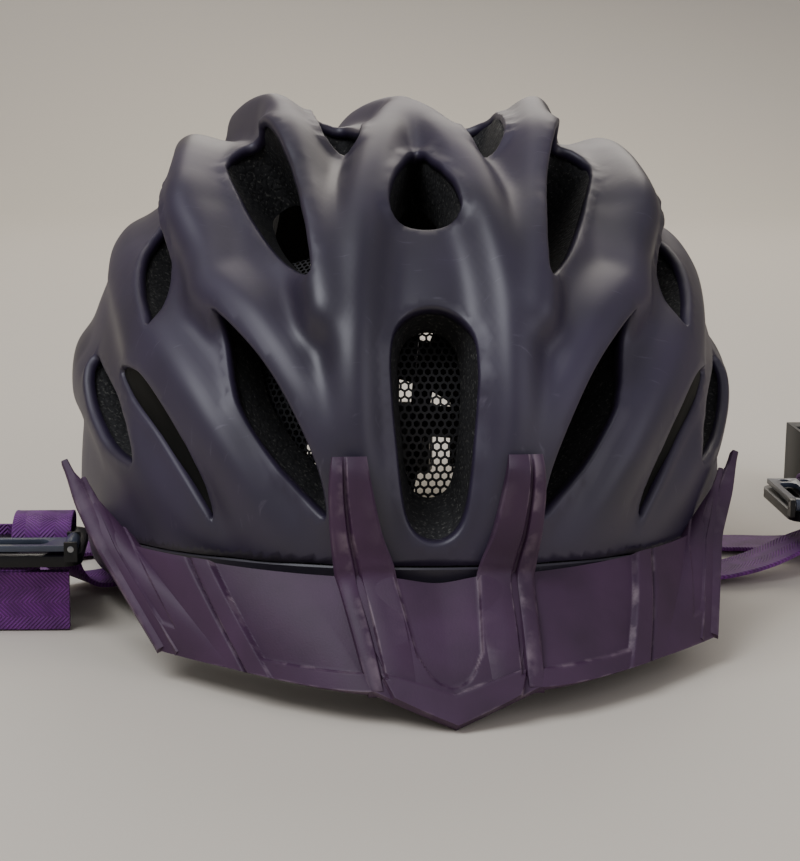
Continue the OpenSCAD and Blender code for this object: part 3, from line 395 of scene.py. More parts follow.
# %% [markdown]
# ## The shell's surface
# A point of the surface is named by two angles from the crown: u across and v towards the nape. Its direction, the
# smooth form's radius there, and the relief of the ridges give the point. Ridges are lines drawn in these angles:
# the ground beside a line rises to a flat-topped beam, and falls away into the valleys where the vents are.

# %% Surface functions
RIDGES = [
    (6.5, 1.0, [(0, 8), (0, -4), (5, -26), (10, -48), (13, -66), (14, -84), (12, -104)]),
    (6.5, 1.0, [(0, 8), (6, 30), (10, 55), (11, 80), (9, 104)]),
    (5.5, 1.3, [(30, 22), (24, -5), (21, -30), (19, -54), (17.5, -68)]),
    (5.5, 1.0, [(30, 22), (24, 50), (22, 80), (24, 110)]),
    (6.0, 1.0, [(41, 20), (41, -10), (42, -35), (39, -54), (30, -66), (22, -79), (17, -94)]),
    (7.0, 1.0, [(41, 20), (44, 50), (48, 75), (52, 100)]),
    (7.0, 1.0, [(62, 30), (61, -20), (56, -50), (46, -68), (38, -84), (30, -100)]),
    (7.0, 1.0, [(84, 40), (84, -20), (74, -52), (60, -78), (44, -96)])]


def edge_z(psi):
    a = np.abs((np.asarray(psi, float) + 180) % 360 - 180)
    front = EAR_Z + (BROW_Z - EAR_Z) * (1 + np.cos(np.pi * np.minimum(a, EAR_ANGLE) / EAR_ANGLE)) / 2
    side = SHELL_T + (EAR_Z - SHELL_T) * (1 + np.cos(np.pi * (a - EAR_ANGLE) / (LOBE_ANGLE - EAR_ANGLE))) / 2
    rear = NAPE_Z + (SHELL_T - NAPE_Z) * (1 + np.cos(np.pi * (a - LOBE_ANGLE) / (180 - LOBE_ANGLE))) / 2
    return np.where(a < EAR_ANGLE, front, np.where(a < LOBE_ANGLE, side, rear))


def reach(psi, z, off=0.0):
    z = np.asarray(z, float)
    h = (z - BELT_Z) / np.where(z > BELT_Z, CROWN_H + off, SKIRT_H)
    p = np.radians(psi)
    across = np.hypot(np.sin(p) / (SHELL_W / 2 + off), np.cos(p) / (SHELL_L / 2 + off))
    return np.sqrt(np.clip(1 - h * h, 0, 1)) / across


def wall_point(psi, z, off=0.0):
    r, p = reach(psi, z, off), np.radians(psi)
    return np.stack([r * np.sin(p), -r * np.cos(p), np.broadcast_to(z, np.shape(r)) + 0.0], -1)


def crown_angle(psi, z, off=0.0):
    return np.degrees(np.arctan2(reach(psi, z, off), np.asarray(z, float) - BELT_Z))


def smooth_step(x):
    x = np.clip(x, 0, 1)
    return x * x * (3 - 2 * x)


def line_gap(p, line):
    best = np.full(len(p), 1e9)
    for a, b in zip(line[:-1], line[1:]):
        a, ab = np.array(a, float), np.subtract(b, a).astype(float)
        s = np.clip((p - a) @ ab / (ab @ ab), 0, 1)
        best = np.minimum(best, np.linalg.norm(p - a - s[:, None] * ab, axis=1))
    return best


def lift(folded):
    """The high beams beside the crown stand proud of the smooth form."""
    def proud(line, width, height, front, rear):
        beam = smooth_step((1 - line_gap(folded, line) / width) / 0.9)
        risen = smooth_step((folded[:, 1] - front + 20) / 20)
        return height * beam * risen * (1 - smooth_step((folded[:, 1] - rear) / 25))
    outer_beam = proud(RIDGES[4][2] + RIDGES[5][2], 10, 8, -28, 25)
    return outer_beam + proud(RIDGES[2][2] + RIDGES[3][2][1:], 8, 6, -26, 22)


def relief(uv):
    psi = np.degrees(np.arctan2(uv[:, 0], -uv[:, 1]))
    folded = np.stack([np.abs(uv[:, 0]), uv[:, 1]], 1)
    rise = np.max([h * smooth_step((1 - line_gap(folded, line) / (w * 1.05)) / 0.72) for w, h, line in RIDGES], axis=0)
    edge = crown_angle(psi, edge_z(psi) + WRAP_H)
    fade = np.clip((1 - np.linalg.norm(uv, axis=1) / edge) / 0.14, 0, 1)
    calm = 1 - 0.55 * smooth_step((folded[:, 0] - 40) / 14)
    return RELIEF * fade * calm * (rise - 1) + fade * lift(folded)


def directions(uv):
    t, p = np.radians(np.linalg.norm(uv, axis=1)), np.arctan2(uv[:, 0], -uv[:, 1])
    return np.stack([np.sin(t) * np.sin(p), -np.sin(t) * np.cos(p), np.cos(t)], 1)


def softened(values, tris, rounds):
    """Each value moves towards the mean of its neighbours, several times."""
    ends = np.concatenate([tris[:, [0, 1]], tris[:, [1, 2]], tris[:, [2, 0]]])
    ends = np.concatenate([ends, ends[:, ::-1]])
    count = np.bincount(ends[:, 0], minlength=len(values))
    for _ in range(rounds):
        near = np.bincount(ends[:, 0], values[ends[:, 1]], minlength=len(values))
        values = 0.4 * values + 0.6 * near / np.maximum(count, 1)
    return values


def from_middle(d, off, heights=0.0):
    """Points along unit directions, on the smooth form moved outwards, with a height added."""
    wide, long, high = SHELL_W / 2 + off, SHELL_L / 2 + off, np.where(d[:, 2] > 0, CROWN_H + off, SKIRT_H)
    r = 1 / np.sqrt((d[:, 0] / wide) ** 2 + (d[:, 1] / long) ** 2 + (d[:, 2] / high) ** 2)
    return d * (r + heights)[:, None] + [0, 0, BELT_Z]


def surface(uv, off=0.0, heights=0.0):
    return from_middle(directions(np.asarray(uv, float)), off, heights)


def polar(psi, t):
    return np.stack([t * np.sin(np.radians(psi)), -t * np.cos(np.radians(psi))], -1)


print("smooth crown at", surface([(0, 0)])[0].round(1), "mm")

# %% [markdown]
# Vents are smooth outlines in the same angles. A region with holes is filled with triangles by Blender's constrained
# Delaunay function: evenly spread points inside, and the outlines kept as edges. That gives clean rims everywhere,
# which a grid with holes cut out of it would not.

# %% Vent outlines and triangulation
MIDDLE_VENTS = [
    [(0, -69), (5, -70.5), (7.4, -75), (7.2, -86), (5.6, -95), (0, -97.5)],
    [(0, -34), (3.2, -40.5), (6, -49), (5.4, -54.5), (0, -56.5)],
    [(0, 24), (3.5, 28), (5, 40), (4, 48), (0, 50)],
    [(0, 60), (5, 63), (5.5, 78), (4, 84), (0, 86)]]
SIDE_VENTS = [
    [(30, -15), (35, -21), (33.5, -36), (30, -48), (25, -57.5), (19, -63.5), (18.5, -56), (22, -33), (25.5, -21)],
    [(37, -60), (37.5, -66), (36, -74), (32.5, -81), (27.5, -87.5), (20.5, -93), (20, -87), (25, -76), (31, -67)],
    [(10, -33), (15, -32), (17, -22), (18, -2), (15, 3), (11, 0), (9, -20)],
    [(46, -16), (50, -20), (53.5, -28), (54.5, -38), (53.5, -47), (51, -52.5), (46.5, -36)],
    [(74, -31), (76.5, -36), (76.5, -46), (72.5, -58), (64, -67.5), (66, -55), (71, -40)],
    [(31, 26), (36, 28), (38, 44), (36, 62), (30, 66), (28, 48)],
    [(14, 62), (18, 60), (19, 78), (17, 92), (13, 92), (12.5, 76)],
    [(50, 20), (55, 24), (58, 44), (56, 60), (51, 52)]]
INSERT = [(64, -49), (61.5, -57), (56, -67.5), (50.5, -77.5), (45, -86.5), (46, -79), (50, -69.5), (56.5, -57.5)]


def insert_outline(scale, spacing):
    """The lens of a side inlay, a third wider than its frame part so that its rim shows."""
    loop = even(curve(INSERT, 8, closed=True), spacing, closed=True)
    middle = loop.mean(0)
    along = np.linalg.svd(loop - middle)[2][0]
    out = (loop - middle) - ((loop - middle) @ along)[:, None] * along
    return middle + ((loop - middle) + out * 0.35) * scale


def mirrored(outline):
    return [(-u, v) for u, v in outline][::-1]


def whole(half):
    return list(half) + [(-u, v) for u, v in half[-2:0:-1]]


def vent_loops(spacing, scale=1.0):
    loops = []
    for outline in [whole(h) for h in MIDDLE_VENTS] + SIDE_VENTS + [mirrored(o) for o in SIDE_VENTS]:
        loop = even(curve(outline, 8, closed=True), spacing, closed=True)
        middle = (loop.max(0) + loop.min(0)) / 2
        loops.append(middle + (loop - middle) * scale)
    return loops


def inside(points, loop):
    hit = np.zeros(len(points), bool)
    for (x0, y0), (x1, y1) in zip(loop, np.roll(loop, -1, axis=0)):
        if y0 != y1:
            crosses = ((points[:, 1] < y0) != (points[:, 1] < y1))
            hit ^= crosses & (points[:, 0] < x0 + (points[:, 1] - y0) / (y1 - y0) * (x1 - x0))
    return hit


def gap_to_loop(points, loop):
    return line_gap(points, np.vstack([loop, loop[:1]]))


def region(outer, holes, spacing):
    """Points, triangles and the point numbers of each loop, for an outline with holes in it."""
    low, high = outer.min(0), outer.max(0)
    rows = np.arange(low[1], high[1], spacing * 0.866)
    columns = np.arange(low[0], high[0], spacing)
    grid = np.array([(u + (k % 2) * spacing / 2, v) for k, v in enumerate(rows) for u in columns])
    keep = inside(grid, outer) & (gap_to_loop(grid, outer) > spacing * 0.5)
    grid = grid[keep]
    for loop in holes:
        near = (np.abs(grid - (loop.max(0) + loop.min(0)) / 2) < (loop.max(0) - loop.min(0)) / 2 + spacing).all(1)
        bad = np.zeros(len(grid), bool)
        bad[near] = inside(grid[near], loop) | (gap_to_loop(grid[near], loop) <= spacing * 0.5)
        grid = grid[~bad]
    loops, points, edges = [outer] + list(holes), [], []
    for loop in loops:
        first = sum(len(p) for p in points)
        points.append(loop)
        edges += [(first + i, first + (i + 1) % len(loop)) for i in range(len(loop))]
    starts = np.cumsum([0] + [len(loop) for loop in loops])
    points = np.vstack(points + [grid])
    made = delaunay_2d_cdt([Vector(p) for p in points], edges, [], 0, 1e-7)
    uv = np.array([tuple(p) for p in made[0]])
    number = np.zeros(len(points), int)
    for i, sources in enumerate(made[3]):
        number[sources] = i
    faces = np.array(made[2])
    centres = uv[faces].mean(1)
    keep = inside(centres, outer)
    for loop in holes:
        near = (np.abs(centres - (loop.max(0) + loop.min(0)) / 2) < (loop.max(0) - loop.min(0)) / 2).all(1)
        keep[near] &= ~inside(centres[near], loop)
    faces = faces[keep]
    a, b, c = uv[faces[:, 0]], uv[faces[:, 1]], uv[faces[:, 2]]
    turned = np.cross(b - a, c - a) < 0
    faces[turned] = faces[turned][:, ::-1]
    return uv, faces, [number[starts[k]:starts[k + 1]] for k in range(len(loops))]


print("vents:", len(vent_loops(2.0)))

# %% [markdown]
# ## Outer shell
# The film's outside and inside are the same triangles at two depths. Round every vent the film is rolled into the
# opening: from the rim, rings of points step inwards and down, and come back under the film to its inner side.

# %% Outer shell
SPACING = 1.05
ROLL = [(0.55, -0.35), (1.0, -1.2), (1.15, -3.4), (0.35, -3.5), (0.25, -1.6)]


def shell_boundary(count, off=0.0, above=WRAP_H):
    psi = np.arange(count) * 360 / count
    return polar(psi, crown_angle(psi, edge_z(psi) + above, off))


def smoothed_loop(vectors, rounds=3):
    for _ in range(rounds):
        vectors = (np.roll(vectors, 1, axis=0) + 2 * vectors + np.roll(vectors, -1, axis=0)) / 4
    return vectors / np.linalg.norm(vectors, axis=1)[:, None]


def vertex_normals(points, tris):
    a, b, c = points[tris[:, 0]], points[tris[:, 1]], points[tris[:, 2]]
    face = np.cross(b - a, c - a)
    face *= np.where((face * (a - [0, 0, BELT_Z])).sum(1) > 0, 1, -1)[:, None]
    total = np.zeros((len(points), 3))
    for axis in range(3):
        total[:, axis] = sum(np.bincount(tris[:, k], face[:, axis], minlength=len(points)) for k in range(3))
    return total / np.linalg.norm(total, axis=1)[:, None]


def towards_middle(rim, normal):
    """Unit steps from a rim's points towards the middle of its hole, along the surface."""
    along = np.roll(rim, -1, axis=0) - np.roll(rim, 1, axis=0)
    across = np.cross(normal, along)
    across /= np.linalg.norm(across, axis=1)[:, None]
    middle = rim.mean(0)
    return smoothed_loop(across * np.where(((middle - rim) * across).sum(1).mean() > 0, 1, -1))


def bridge(a, b, inward):
    """Faces between two loops of point numbers."""
    n = len(a)
    faces = [(a[i], a[(i + 1) % n], b[(i + 1) % n], b[i]) for i in range(n)]
    return [f[::-1] for f in faces] if inward else faces


def rolled_shell():
    insert_loop = insert_outline(1.0, SPACING)
    holes = vent_loops(SPACING) + [insert_loop, insert_loop * [-1, 1]]
    uv, tris, loops = region(shell_boundary(280), holes, SPACING)
    heights = softened(relief(uv), tris, 6)
    outer, inner = surface(uv, 0, heights), surface(uv, -SHELL_T, heights)
    normals = vertex_normals(outer, tris)
    points = [outer, inner]
    count = 2 * len(uv)
    faces = [tuple(f) for f in tris] + [tuple(f[::-1] + len(uv)) for f in tris]
    faces += bridge(loops[0], loops[0] + len(uv), False)
    for loop in loops[1:]:
        rim = outer[loop]
        down = smoothed_loop(normals[loop])
        step = towards_middle(rim, down)
        last = loop
        for across, drop in ROLL:
            points.append(rim + step * across + down * drop)
            now = np.arange(count, count + len(loop))
            count += len(loop)
            faces += bridge(last, now, True)
            last = now
        faces += bridge(last, loop + len(uv), True)
    return np.vstack(points), faces


shell = outward(piece("outer_shell_film", *rolled_shell(), shell_film))
settle(shell, "helmet", "shell_polycarbonate", "outer_shell")
print("shell:", len(shell.data.polygons), "faces")

# %% [markdown]
# ## Foam liner
# The liner fills the space from the film to the hollow for the head. Its outside and inside are triangulated apart,
# because each vent narrows towards the head, and matching outlines are joined by the walls of the vent. The foam
# lies a little under the film, and its hollow is 2 mm wider than the frame's, to leave the head ring room to swing.

# %% Foam liner
UNDER_FILM, RING_ROOM, FOAM_SPACING, WALL_STEPS = 1.2, 2, 1.9, 7


def liner():
    spacing = FOAM_SPACING
    depth = -SHELL_T - UNDER_FILM
    outer_uv, outer_tris, outer_loops = region(shell_boundary(200, depth, 0), vent_loops(SPACING, 0.99), spacing)
    inner_uv, inner_tris, inner_loops = region(shell_boundary(200, -FOAM_T, 0), vent_loops(SPACING, 0.82), spacing)
    outer = surface(outer_uv, depth, softened(relief(outer_uv), outer_tris, 2))
    inner = surface(inner_uv, RING_ROOM - FOAM_T)
    first = len(outer)
    points, count = [outer, inner], len(outer) + len(inner)
    faces = [tuple(f) for f in outer_tris] + [tuple(f[::-1] + first) for f in inner_tris]
    for k, (a, b) in enumerate(zip(outer_loops, inner_loops)):
        last = a
        for s in np.arange(1, WALL_STEPS) / WALL_STEPS:
            points.append(outer[a] * (1 - s) + inner[b] * s)
            now = np.arange(count, count + len(a))
            count += len(a)
            faces += bridge(last, now, k > 0)
            last = now
        faces += bridge(last, b + first, k > 0)
    return np.vstack(points), faces


foam = outward(piece("foam_liner_beads", *liner(), foam_finish))
settle(crisp(foam, 50), "helmet", "foam_eps", "foam_liner")
print("foam:", len(foam.data.polygons), "faces")

# %% [markdown]
# ## Rim wrap
# A second film covers the lower edge and turns under the foam. It is a band swept round the helmet, with a rounded
# corner at its foot.

# %% Rim wrap
def wrap():
    corner, turn = 2.6, np.linspace(0, math.pi / 2, 6)
    sections = []
    for psi in np.arange(0, 360, 1.25):
        low, high = float(edge_z(psi)), float(edge_z(psi)) + WRAP_H - 0.4
        foot = low - SHELL_T
        arc = [(-corner + corner * math.cos(a), foot + corner - corner * math.sin(a)) for a in turn]
        under = [(-LIP_W, foot), (-LIP_W, low - 0.15), (-corner, low - 0.15), (-SHELL_T, foot + corner)]
        profile = [(-SHELL_T, high - 0.3), (-0.5, high), (0, high - 0.5), (0, (high + low) / 2)] + arc + under
        sections.append(np.array([wall_point(psi, z, off) for off, z in profile]))
    return tube(sections, ring=True)


rim = outward(piece("rim_wrap_film", *wrap(), wrap_film))
settle(crisp(rim, 40), "helmet", "wrap_polycarbonate", "rim_wrap")
print("rim wrap:", len(rim.data.polygons), "faces")

# %% [markdown]
# ## Side inlays
# Each side has a lens-shaped rubber inlay that sits in a hole of the film, a little sunk and gently domed.

# %% Side inlays
def inlay(side):
    loop = insert_outline(0.94, 0.9)
    uv, tris, loops = region(loop, [], 0.9)
    rise = smooth_step(gap_to_loop(uv, loop) / 2.2)
    heights = relief(uv)
    top = surface(uv, -1.0, heights)
    out = (top - [0, 0, BELT_Z]) / np.linalg.norm(top - [0, 0, BELT_Z], axis=1)[:, None]
    top = top + out * rise[:, None] * 1.1
    under = surface(uv, -5, heights)
    faces = [tuple(f) for f in tris] + [tuple(f[::-1] + len(uv)) for f in tris]
    faces += bridge(loops[0], loops[0] + len(uv), False)
    return np.vstack([top, under]) * [side, 1, 1], faces


for side, name in ((-1, "left"), (1, "right")):
    lens_piece = outward(piece(f"side_inlay_{name}", *inlay(side), insert_rubber))
    settle(crisp(lens_piece, 50), "helmet", "insert_rubber", f"side_insert_{name}")
    print(lens_piece.name, len(lens_piece.data.polygons), "faces")

# %% [markdown]
# ## Visor
# The visor is a thin panel between an upper edge that lies on the shell and a lower edge that comes to a point.
# Its sunk panels, steps and grooves are a height over the panel, so they are real shape. Its two prongs run up the
# shell's face, and its ends rise into ribbed wings.

# %% Visor edges
WING_START, WING_ANGLE = 0.74, 40
VISOR_SLACK = 1.2 + PRONG_X * math.sin(math.radians(VISOR_YAW))
WING_TIP = np.array([SHELL_W / 2 - 7, -0.55 * SHELL_L / 2, VISOR_TOP_Z + 19])
CORNER = np.array([0.72 * SHELL_W / 2, -0.84 * SHELL_L / 2, VISOR_LOW_Z])
TIP_Y, NOSE_X = -SHELL_L / 2 - VISOR_REACH, 22
NOSE_Y = TIP_Y + 7


def visor_top(a):
    s = max(0, (a - WING_START) / (1 - WING_START))
    lain = wall_point(WING_ANGLE * min(1, a / WING_START), VISOR_TOP_Z, VISOR_SLACK + 3 * a)
    return lain * (1 - s) + WING_TIP * s


def visor_low(a):
    x = a * CORNER[0]
    if x < NOSE_X:
        return np.array([x, TIP_Y + (NOSE_Y - TIP_Y) * x / NOSE_X, VISOR_LOW_Z * x / NOSE_X])
    s = (x - NOSE_X) / (CORNER[0] - NOSE_X)
    return np.array([x, NOSE_Y + (CORNER[1] - NOSE_Y) * s ** 1.35, VISOR_LOW_Z])


BEND_MIDDLE, BEND_LEFT, BEND_RIGHT = 1.6, 2.4, 5.0


def turned(points):
    """The visor sits turned a little on its studs, and its lower edge is bent to one side."""
    a = math.radians(VISOR_YAW)
    hinge = np.array([0, -SHELL_L / 2, 0])
    points = np.array(points, float)
    depth = np.clip((VISOR_TOP_Z - points[:, 2]) / (VISOR_TOP_Z - VISOR_LOW_Z), 0, 1)
    outer = np.clip(np.abs(points[:, 0]) / CORNER[0], 0, 1)
    points[:, 0] += depth * (BEND_MIDDLE + outer * np.where(points[:, 0] > 0, BEND_RIGHT, BEND_LEFT))
    spin = np.array([[math.cos(a), -math.sin(a), 0], [math.sin(a), math.cos(a), 0], [0, 0, 1]])
    return (np.asarray(points) - hinge) @ spin.T + hinge


print("visor tip at", visor_low(0), "and corner at", visor_low(1).round(1))

# %% [markdown]
# The panel is a sheet between the two edges. Its height over that sheet is a sum of raised and sunk fields, each with
# soft borders, and the wear follows the steepest slopes. Prongs and ribs are beams swept through stations.

# %% Visor panel
def past(x, edge, soft):
    return smooth_step((x - edge) / soft + 0.5)


def panel_height(a, s):
    aa = np.abs(a)
    soft = 0.007
    border = 0.475 + 0.125 * s
    groove = 0.53 + 0.155 * s
    middle_panel = past(aa, 0.2, soft) * (1 - past(aa, border, soft)) * (1 - past(s, 0.84, 0.03))
    centre_edge = 0.74 - 0.16 * np.clip(aa / 0.08, 0, 1) ** 4
    centre = (1 - past(aa, 0.085, soft)) * (1 - past(s, centre_edge, 0.035))
    vee = (1 - past(aa, 0.215, soft)) * past(s, 0.79, 0.025)
    strip = past(aa, border + 0.004, soft) * (1 - past(aa, groove, soft))
    wing_line = 0.78 + 0.1 * s
    wing_end = 0.8 - 0.5 * np.clip(0.86 - aa, 0, 1)
    wing_panel = past(aa, wing_line, soft) * (1 - past(aa, 0.905, soft)) * (1 - past(s, wing_end, 0.03))
    line = np.exp(-((aa - groove - 0.006) / 0.006) ** 2)
    return -1.3 * middle_panel - 1.1 * centre + 2.0 * vee + 0.7 * strip - line - 0.6 * wing_panel


def visor_panel():
    a = np.linspace(-1, 1, 481)
    s = np.linspace(0, 1, 65)
    top = np.array([visor_top(abs(x)) * [np.sign(x) or 1, 1, 1] for x in a])
    low = np.array([visor_low(abs(x)) * [np.sign(x) or 1, 1, 1] for x in a])
    sag = 1.6 * (1 - smooth_step(np.abs(a) / 0.1))
    top[:, 2] -= sag
    flat = top[:, None] * (1 - s)[None, :, None] + low[:, None] * s[None, :, None]
    mid = flat + np.sin(np.pi * s)[None, :, None] * np.array([0, -0.9, 0.5])
    da = np.gradient(mid, axis=0)
    ds = np.gradient(mid, axis=1)
    normal = np.cross(ds, da)
    normal /= np.linalg.norm(normal, axis=2)[:, :, None]
    normal *= np.where((normal * [0, -1, 1]).sum(2) > 0, 1, -1)[:, :, None]
    aa, ss = np.meshgrid(a, s, indexing="ij")
    height = panel_height(aa, ss)
    front = mid + normal * (VISOR_T + height)[:, :, None]
    slope = np.hypot(np.gradient(height, axis=0), np.gradient(height, axis=1))
    wear = np.clip(slope * 1.5 - 0.15, 0, 1) * (0.3 + 0.5 * (np.sin(aa * 37) > -0.3))
    wear = np.maximum(wear, 0.4 * (ss > 0.985))
    n, m = front.shape[:2]
    number = np.arange(n * m).reshape(n, m)
    quads = [(number[i, j], number[i + 1, j], number[i + 1, j + 1], number[i, j + 1])
             for i in range(n - 1) for j in range(m - 1)]
    faces = quads + [tuple(q + n * m for q in f[::-1]) for f in quads]
    border = np.concatenate([number[:, 0], number[-1, 1:], number[-2::-1, -1], number[0, -2:0:-1]])
    faces += bridge(border, border + n * m, True)
    points = np.vstack([front.reshape(-1, 3), mid.reshape(-1, 3)])
    return turned(points), faces, np.concatenate([wear.ravel(), np.zeros(n * m)])


def front_y(x, z, off):
    c = CROWN_H + off if z > BELT_Z else SKIRT_H
    return -(SHELL_L / 2 + off) * math.sqrt(max(0, 1 - (x / (SHELL_W / 2 + off)) ** 2 - ((z - BELT_Z) / c) ** 2))


def prong(side):
    """A beam with a groove along its face. Each station: middle, back y and z, depth forward and up, half width."""
    def back_y(z):
        return front_y(PRONG_X, z, VISOR_SLACK)
    stations = [
        (PRONG_X, back_y(PRONG_TOP_Z), PRONG_TOP_Z, 1.0, 0.2, 4.7), (PRONG_X, back_y(63), 63, 3.4, 0.4, 5.2),
        (PRONG_X - 0.5, back_y(56), 56, 4.2, 0.6, 6.0), (PRONG_X - 2, back_y(45), 45, 4.3, 1.4, 6.9),
        (PRONG_X - 4.2, back_y(35), 35, 4.3, 3.2, 7.9), (PRONG_X - 5.2, back_y(30) - 2.5, 29, 3.6, 3.8, 8.0),
        (PRONG_LOW_X - 1.5, -154, 19, 2.9, 3.4, 7.6), (PRONG_LOW_X - 2.5, NOSE_Y + 1.4, 8.6, 2.4, 2.6, 6.9),
        (PRONG_LOW_X - 2.5, NOSE_Y + 0.4, 7.2, 2.0, 2.4, 6.6)]
    profile = [(-1, 0), (-1, 0.86), (-0.9, 1), (-0.3, 1.0), (0.1, 1), (0.16, 0.96), (0.24, 0.66), (0.32, 0.64), (0.4, 0.9),
               (0.46, 0.94), (0.86, 0.86), (0.97, 0.72), (1, 0.5), (1, 0)]
    worn = np.array([0, 0.2, 0.1, 0, 0, 0.7, 0.3, 0, 0.1, 0.5, 0, 0.2, 0, 0])
    path = curve(stations, 8)
    sections = [np.array([(side * (x + c * half), y - h * dy, z + h * dz) for c, h in profile]) for x, y, z, dy, dz, half in path]
    points, faces = tube(sections)
    return turned(points), faces, np.tile(worn, len(sections))


def wing_rib(side, low_a, high_a, overshoot, half, rise):
    """A rib over the wing that ends in a pointed prong above the upper edge."""
    low, high = visor_low(low_a), visor_top(high_a)
    along = (high - low) / np.linalg.norm(high - low)
    out = np.cross(along, visor_top(high_a) - visor_top(high_a - 0.05))
    out = out / np.linalg.norm(out)
    out = out if out[1] < 0 else -out
    across = np.cross(out, along)
    length = np.linalg.norm(high - low) + overshoot
    sections = []
    for s in np.linspace(0, 1, 26):
        width = half * (1 - 0.55 * smooth_step((s - 0.75) / 0.25))
        top = rise * (0.75 + 0.25 * math.sin(math.pi * min(1, s * 1.2)))
        base = low + along * (length * s) + out * 0.8
        profile = [(-1, 0), (-0.85, 0.85), (-0.6, 1), (0.6, 1), (0.85, 0.85), (1, 0)]
        sections.append(np.array([(base + across * c * width + out * h * top) for c, h in profile]))
    points, faces = tube(sections)
    return turned(points * [side, 1, 1]), faces, np.tile([0, 0.4, 0.1, 0.1, 0.4, 0], len(sections))


visor_parts = [visor_panel()]
for side in (-1, 1):
    visor_parts.append(prong(side))
    visor_parts += [wing_rib(side, 0.985, 0.985, 2, 2.6, 3.0), wing_rib(side, 0.93, 0.9, 5, 1.9, 2.4)]
points, faces, wear = joined(visor_parts)
visor = crisp(outward(piece("visor_panel", points, faces, visor_nylon, wear=wear)), 38)
settle(visor, "visor", "visor_nylon", "visor")
print("visor:", len(visor.data.polygons), "faces")

# %% [markdown]
# ## Net
# Behind the front vents a net keeps insects out. It is a lattice of one tile, a hexagon with a hole, laid out flat
# by Geometry Nodes. Its pitch and counts are named inputs. The flat sheet is then laid on the hollow of the liner.

# %% Net tile and its lattice
PITCH, HOLE, NET_T, COLUMNS, ROWS = 2.3, 0.72, 0.5, 86, 50


def net_tile():
    angles = np.radians(np.arange(6) * 60 + 30)
    rim = np.stack([np.cos(angles), np.sin(angles)], 1) * PITCH / math.sqrt(3)
    rings = [(rim, NET_T / 2), (rim * HOLE, NET_T / 2), (rim * HOLE, -NET_T / 2), (rim, -NET_T / 2)]
    points = np.vstack([np.column_stack([r, np.full(6, z)]) for r, z in rings])
    faces = [(6 * k + i, 6 * k + (i + 1) % 6, 6 * k + 6 + (i + 1) % 6, 6 * k + 6 + i) for k in range(3) for i in range(6)]
    mesh = bpy.data.meshes.new("net_tile")
    mesh.from_pydata(points.tolist(), [], faces)
    return bpy.data.objects.new("net_tile", mesh)


def net_tree():
    tree = bpy.data.node_groups.new("net_lattice", "GeometryNodeTree")
    face = tree.interface
    face.new_socket("Geometry", in_out="OUTPUT", socket_type="NodeSocketGeometry")
    pitch = face.new_socket("Pitch", in_out="INPUT", socket_type="NodeSocketFloat")
    columns = face.new_socket("Columns", in_out="INPUT", socket_type="NodeSocketInt")
    rows = face.new_socket("Rows", in_out="INPUT", socket_type="NodeSocketInt")
    tile = face.new_socket("Tile", in_out="INPUT", socket_type="NodeSocketObject")
    socket = add(tree, "NodeGroupInput").outputs
    wide = calc(tree, "MULTIPLY", calc(tree, "SUBTRACT", socket["Columns"], 1.0), socket["Pitch"])
    step = calc(tree, "MULTIPLY", socket["Pitch"], math.sqrt(3) / 2)
    tall = calc(tree, "MULTIPLY", calc(tree, "SUBTRACT", socket["Rows"], 1.0), step)
    grid = add(tree, "GeometryNodeMeshGrid", {"Size X": wide, "Size Y": tall,
               "Vertices X": socket["Columns"], "Vertices Y": socket["Rows"]})
    row = calc(tree, "MODULO", add(tree, "GeometryNodeInputIndex").outputs[0], socket["Rows"])
    aside = calc(tree, "MULTIPLY", calc(tree, "MODULO", row, 2.0), socket["Pitch"])
    offset = add(tree, "ShaderNodeCombineXYZ", {"X": calc(tree, "MULTIPLY", aside, 0.5)}).outputs[0]
    shifted = add(tree, "GeometryNodeSetPosition", {"Geometry": grid.outputs["Mesh"], "Offset": offset})
    info = add(tree, "GeometryNodeObjectInfo", {"Object": socket["Tile"]})
    laid = add(tree, "GeometryNodeInstanceOnPoints", {"Points": shifted.outputs[0], "Instance": info.outputs["Geometry"]})
    real = add(tree, "GeometryNodeRealizeInstances", {0: laid.outputs[0]})
    dressed = add(tree, "GeometryNodeSetMaterial", {"Geometry": real.outputs[0]})
    dressed.inputs["Material"].default_value = net_nylon
    out = add(tree, "NodeGroupOutput", {0: dressed.outputs[0]})
    inputs = {pitch.identifier: PITCH, columns.identifier: COLUMNS, rows.identifier: ROWS}
    return tree, inputs, tile.identifier


def flat_net():
    tree, inputs, tile_key = net_tree()
    inputs[tile_key] = net_tile()
    holder = bpy.data.objects.new("net_flat", bpy.data.meshes.new("net_flat"))
    bpy.context.scene.collection.objects.link(holder)
    modifier = holder.modifiers.new("lattice", "NODES")
    modifier.node_group = tree
    for key, value in inputs.items():
        modifier[key] = value
    ready = holder.evaluated_get(bpy.context.evaluated_depsgraph_get())
    mesh = bpy.data.meshes.new_from_object(ready)
    bpy.data.objects.remove(holder)
    bpy.data.objects.remove(inputs[tile_key])
    return mesh


print("net sheet:", COLUMNS, "by", ROWS, "tiles of", PITCH, "mm")

# %% [markdown]
# The sheet's two directions become two angles round the hollow, just inside the foam, so the tiles stay nearly the
# same size. Tiles that would hang below the brow pad are cut away.

# %% Net laid on the hollow
ROUND_ACROSS, ROUND_DOWN, START_DOWN, NET_DEPTH, NET_FOOT = 116, 108, 78, 0.7, 40.5


def hollow_point(across, down, off):
    d = np.stack([np.sin(across), -np.cos(across) * np.sin(down), np.cos(across) * np.cos(down)], 1)
    return from_middle(d, off)


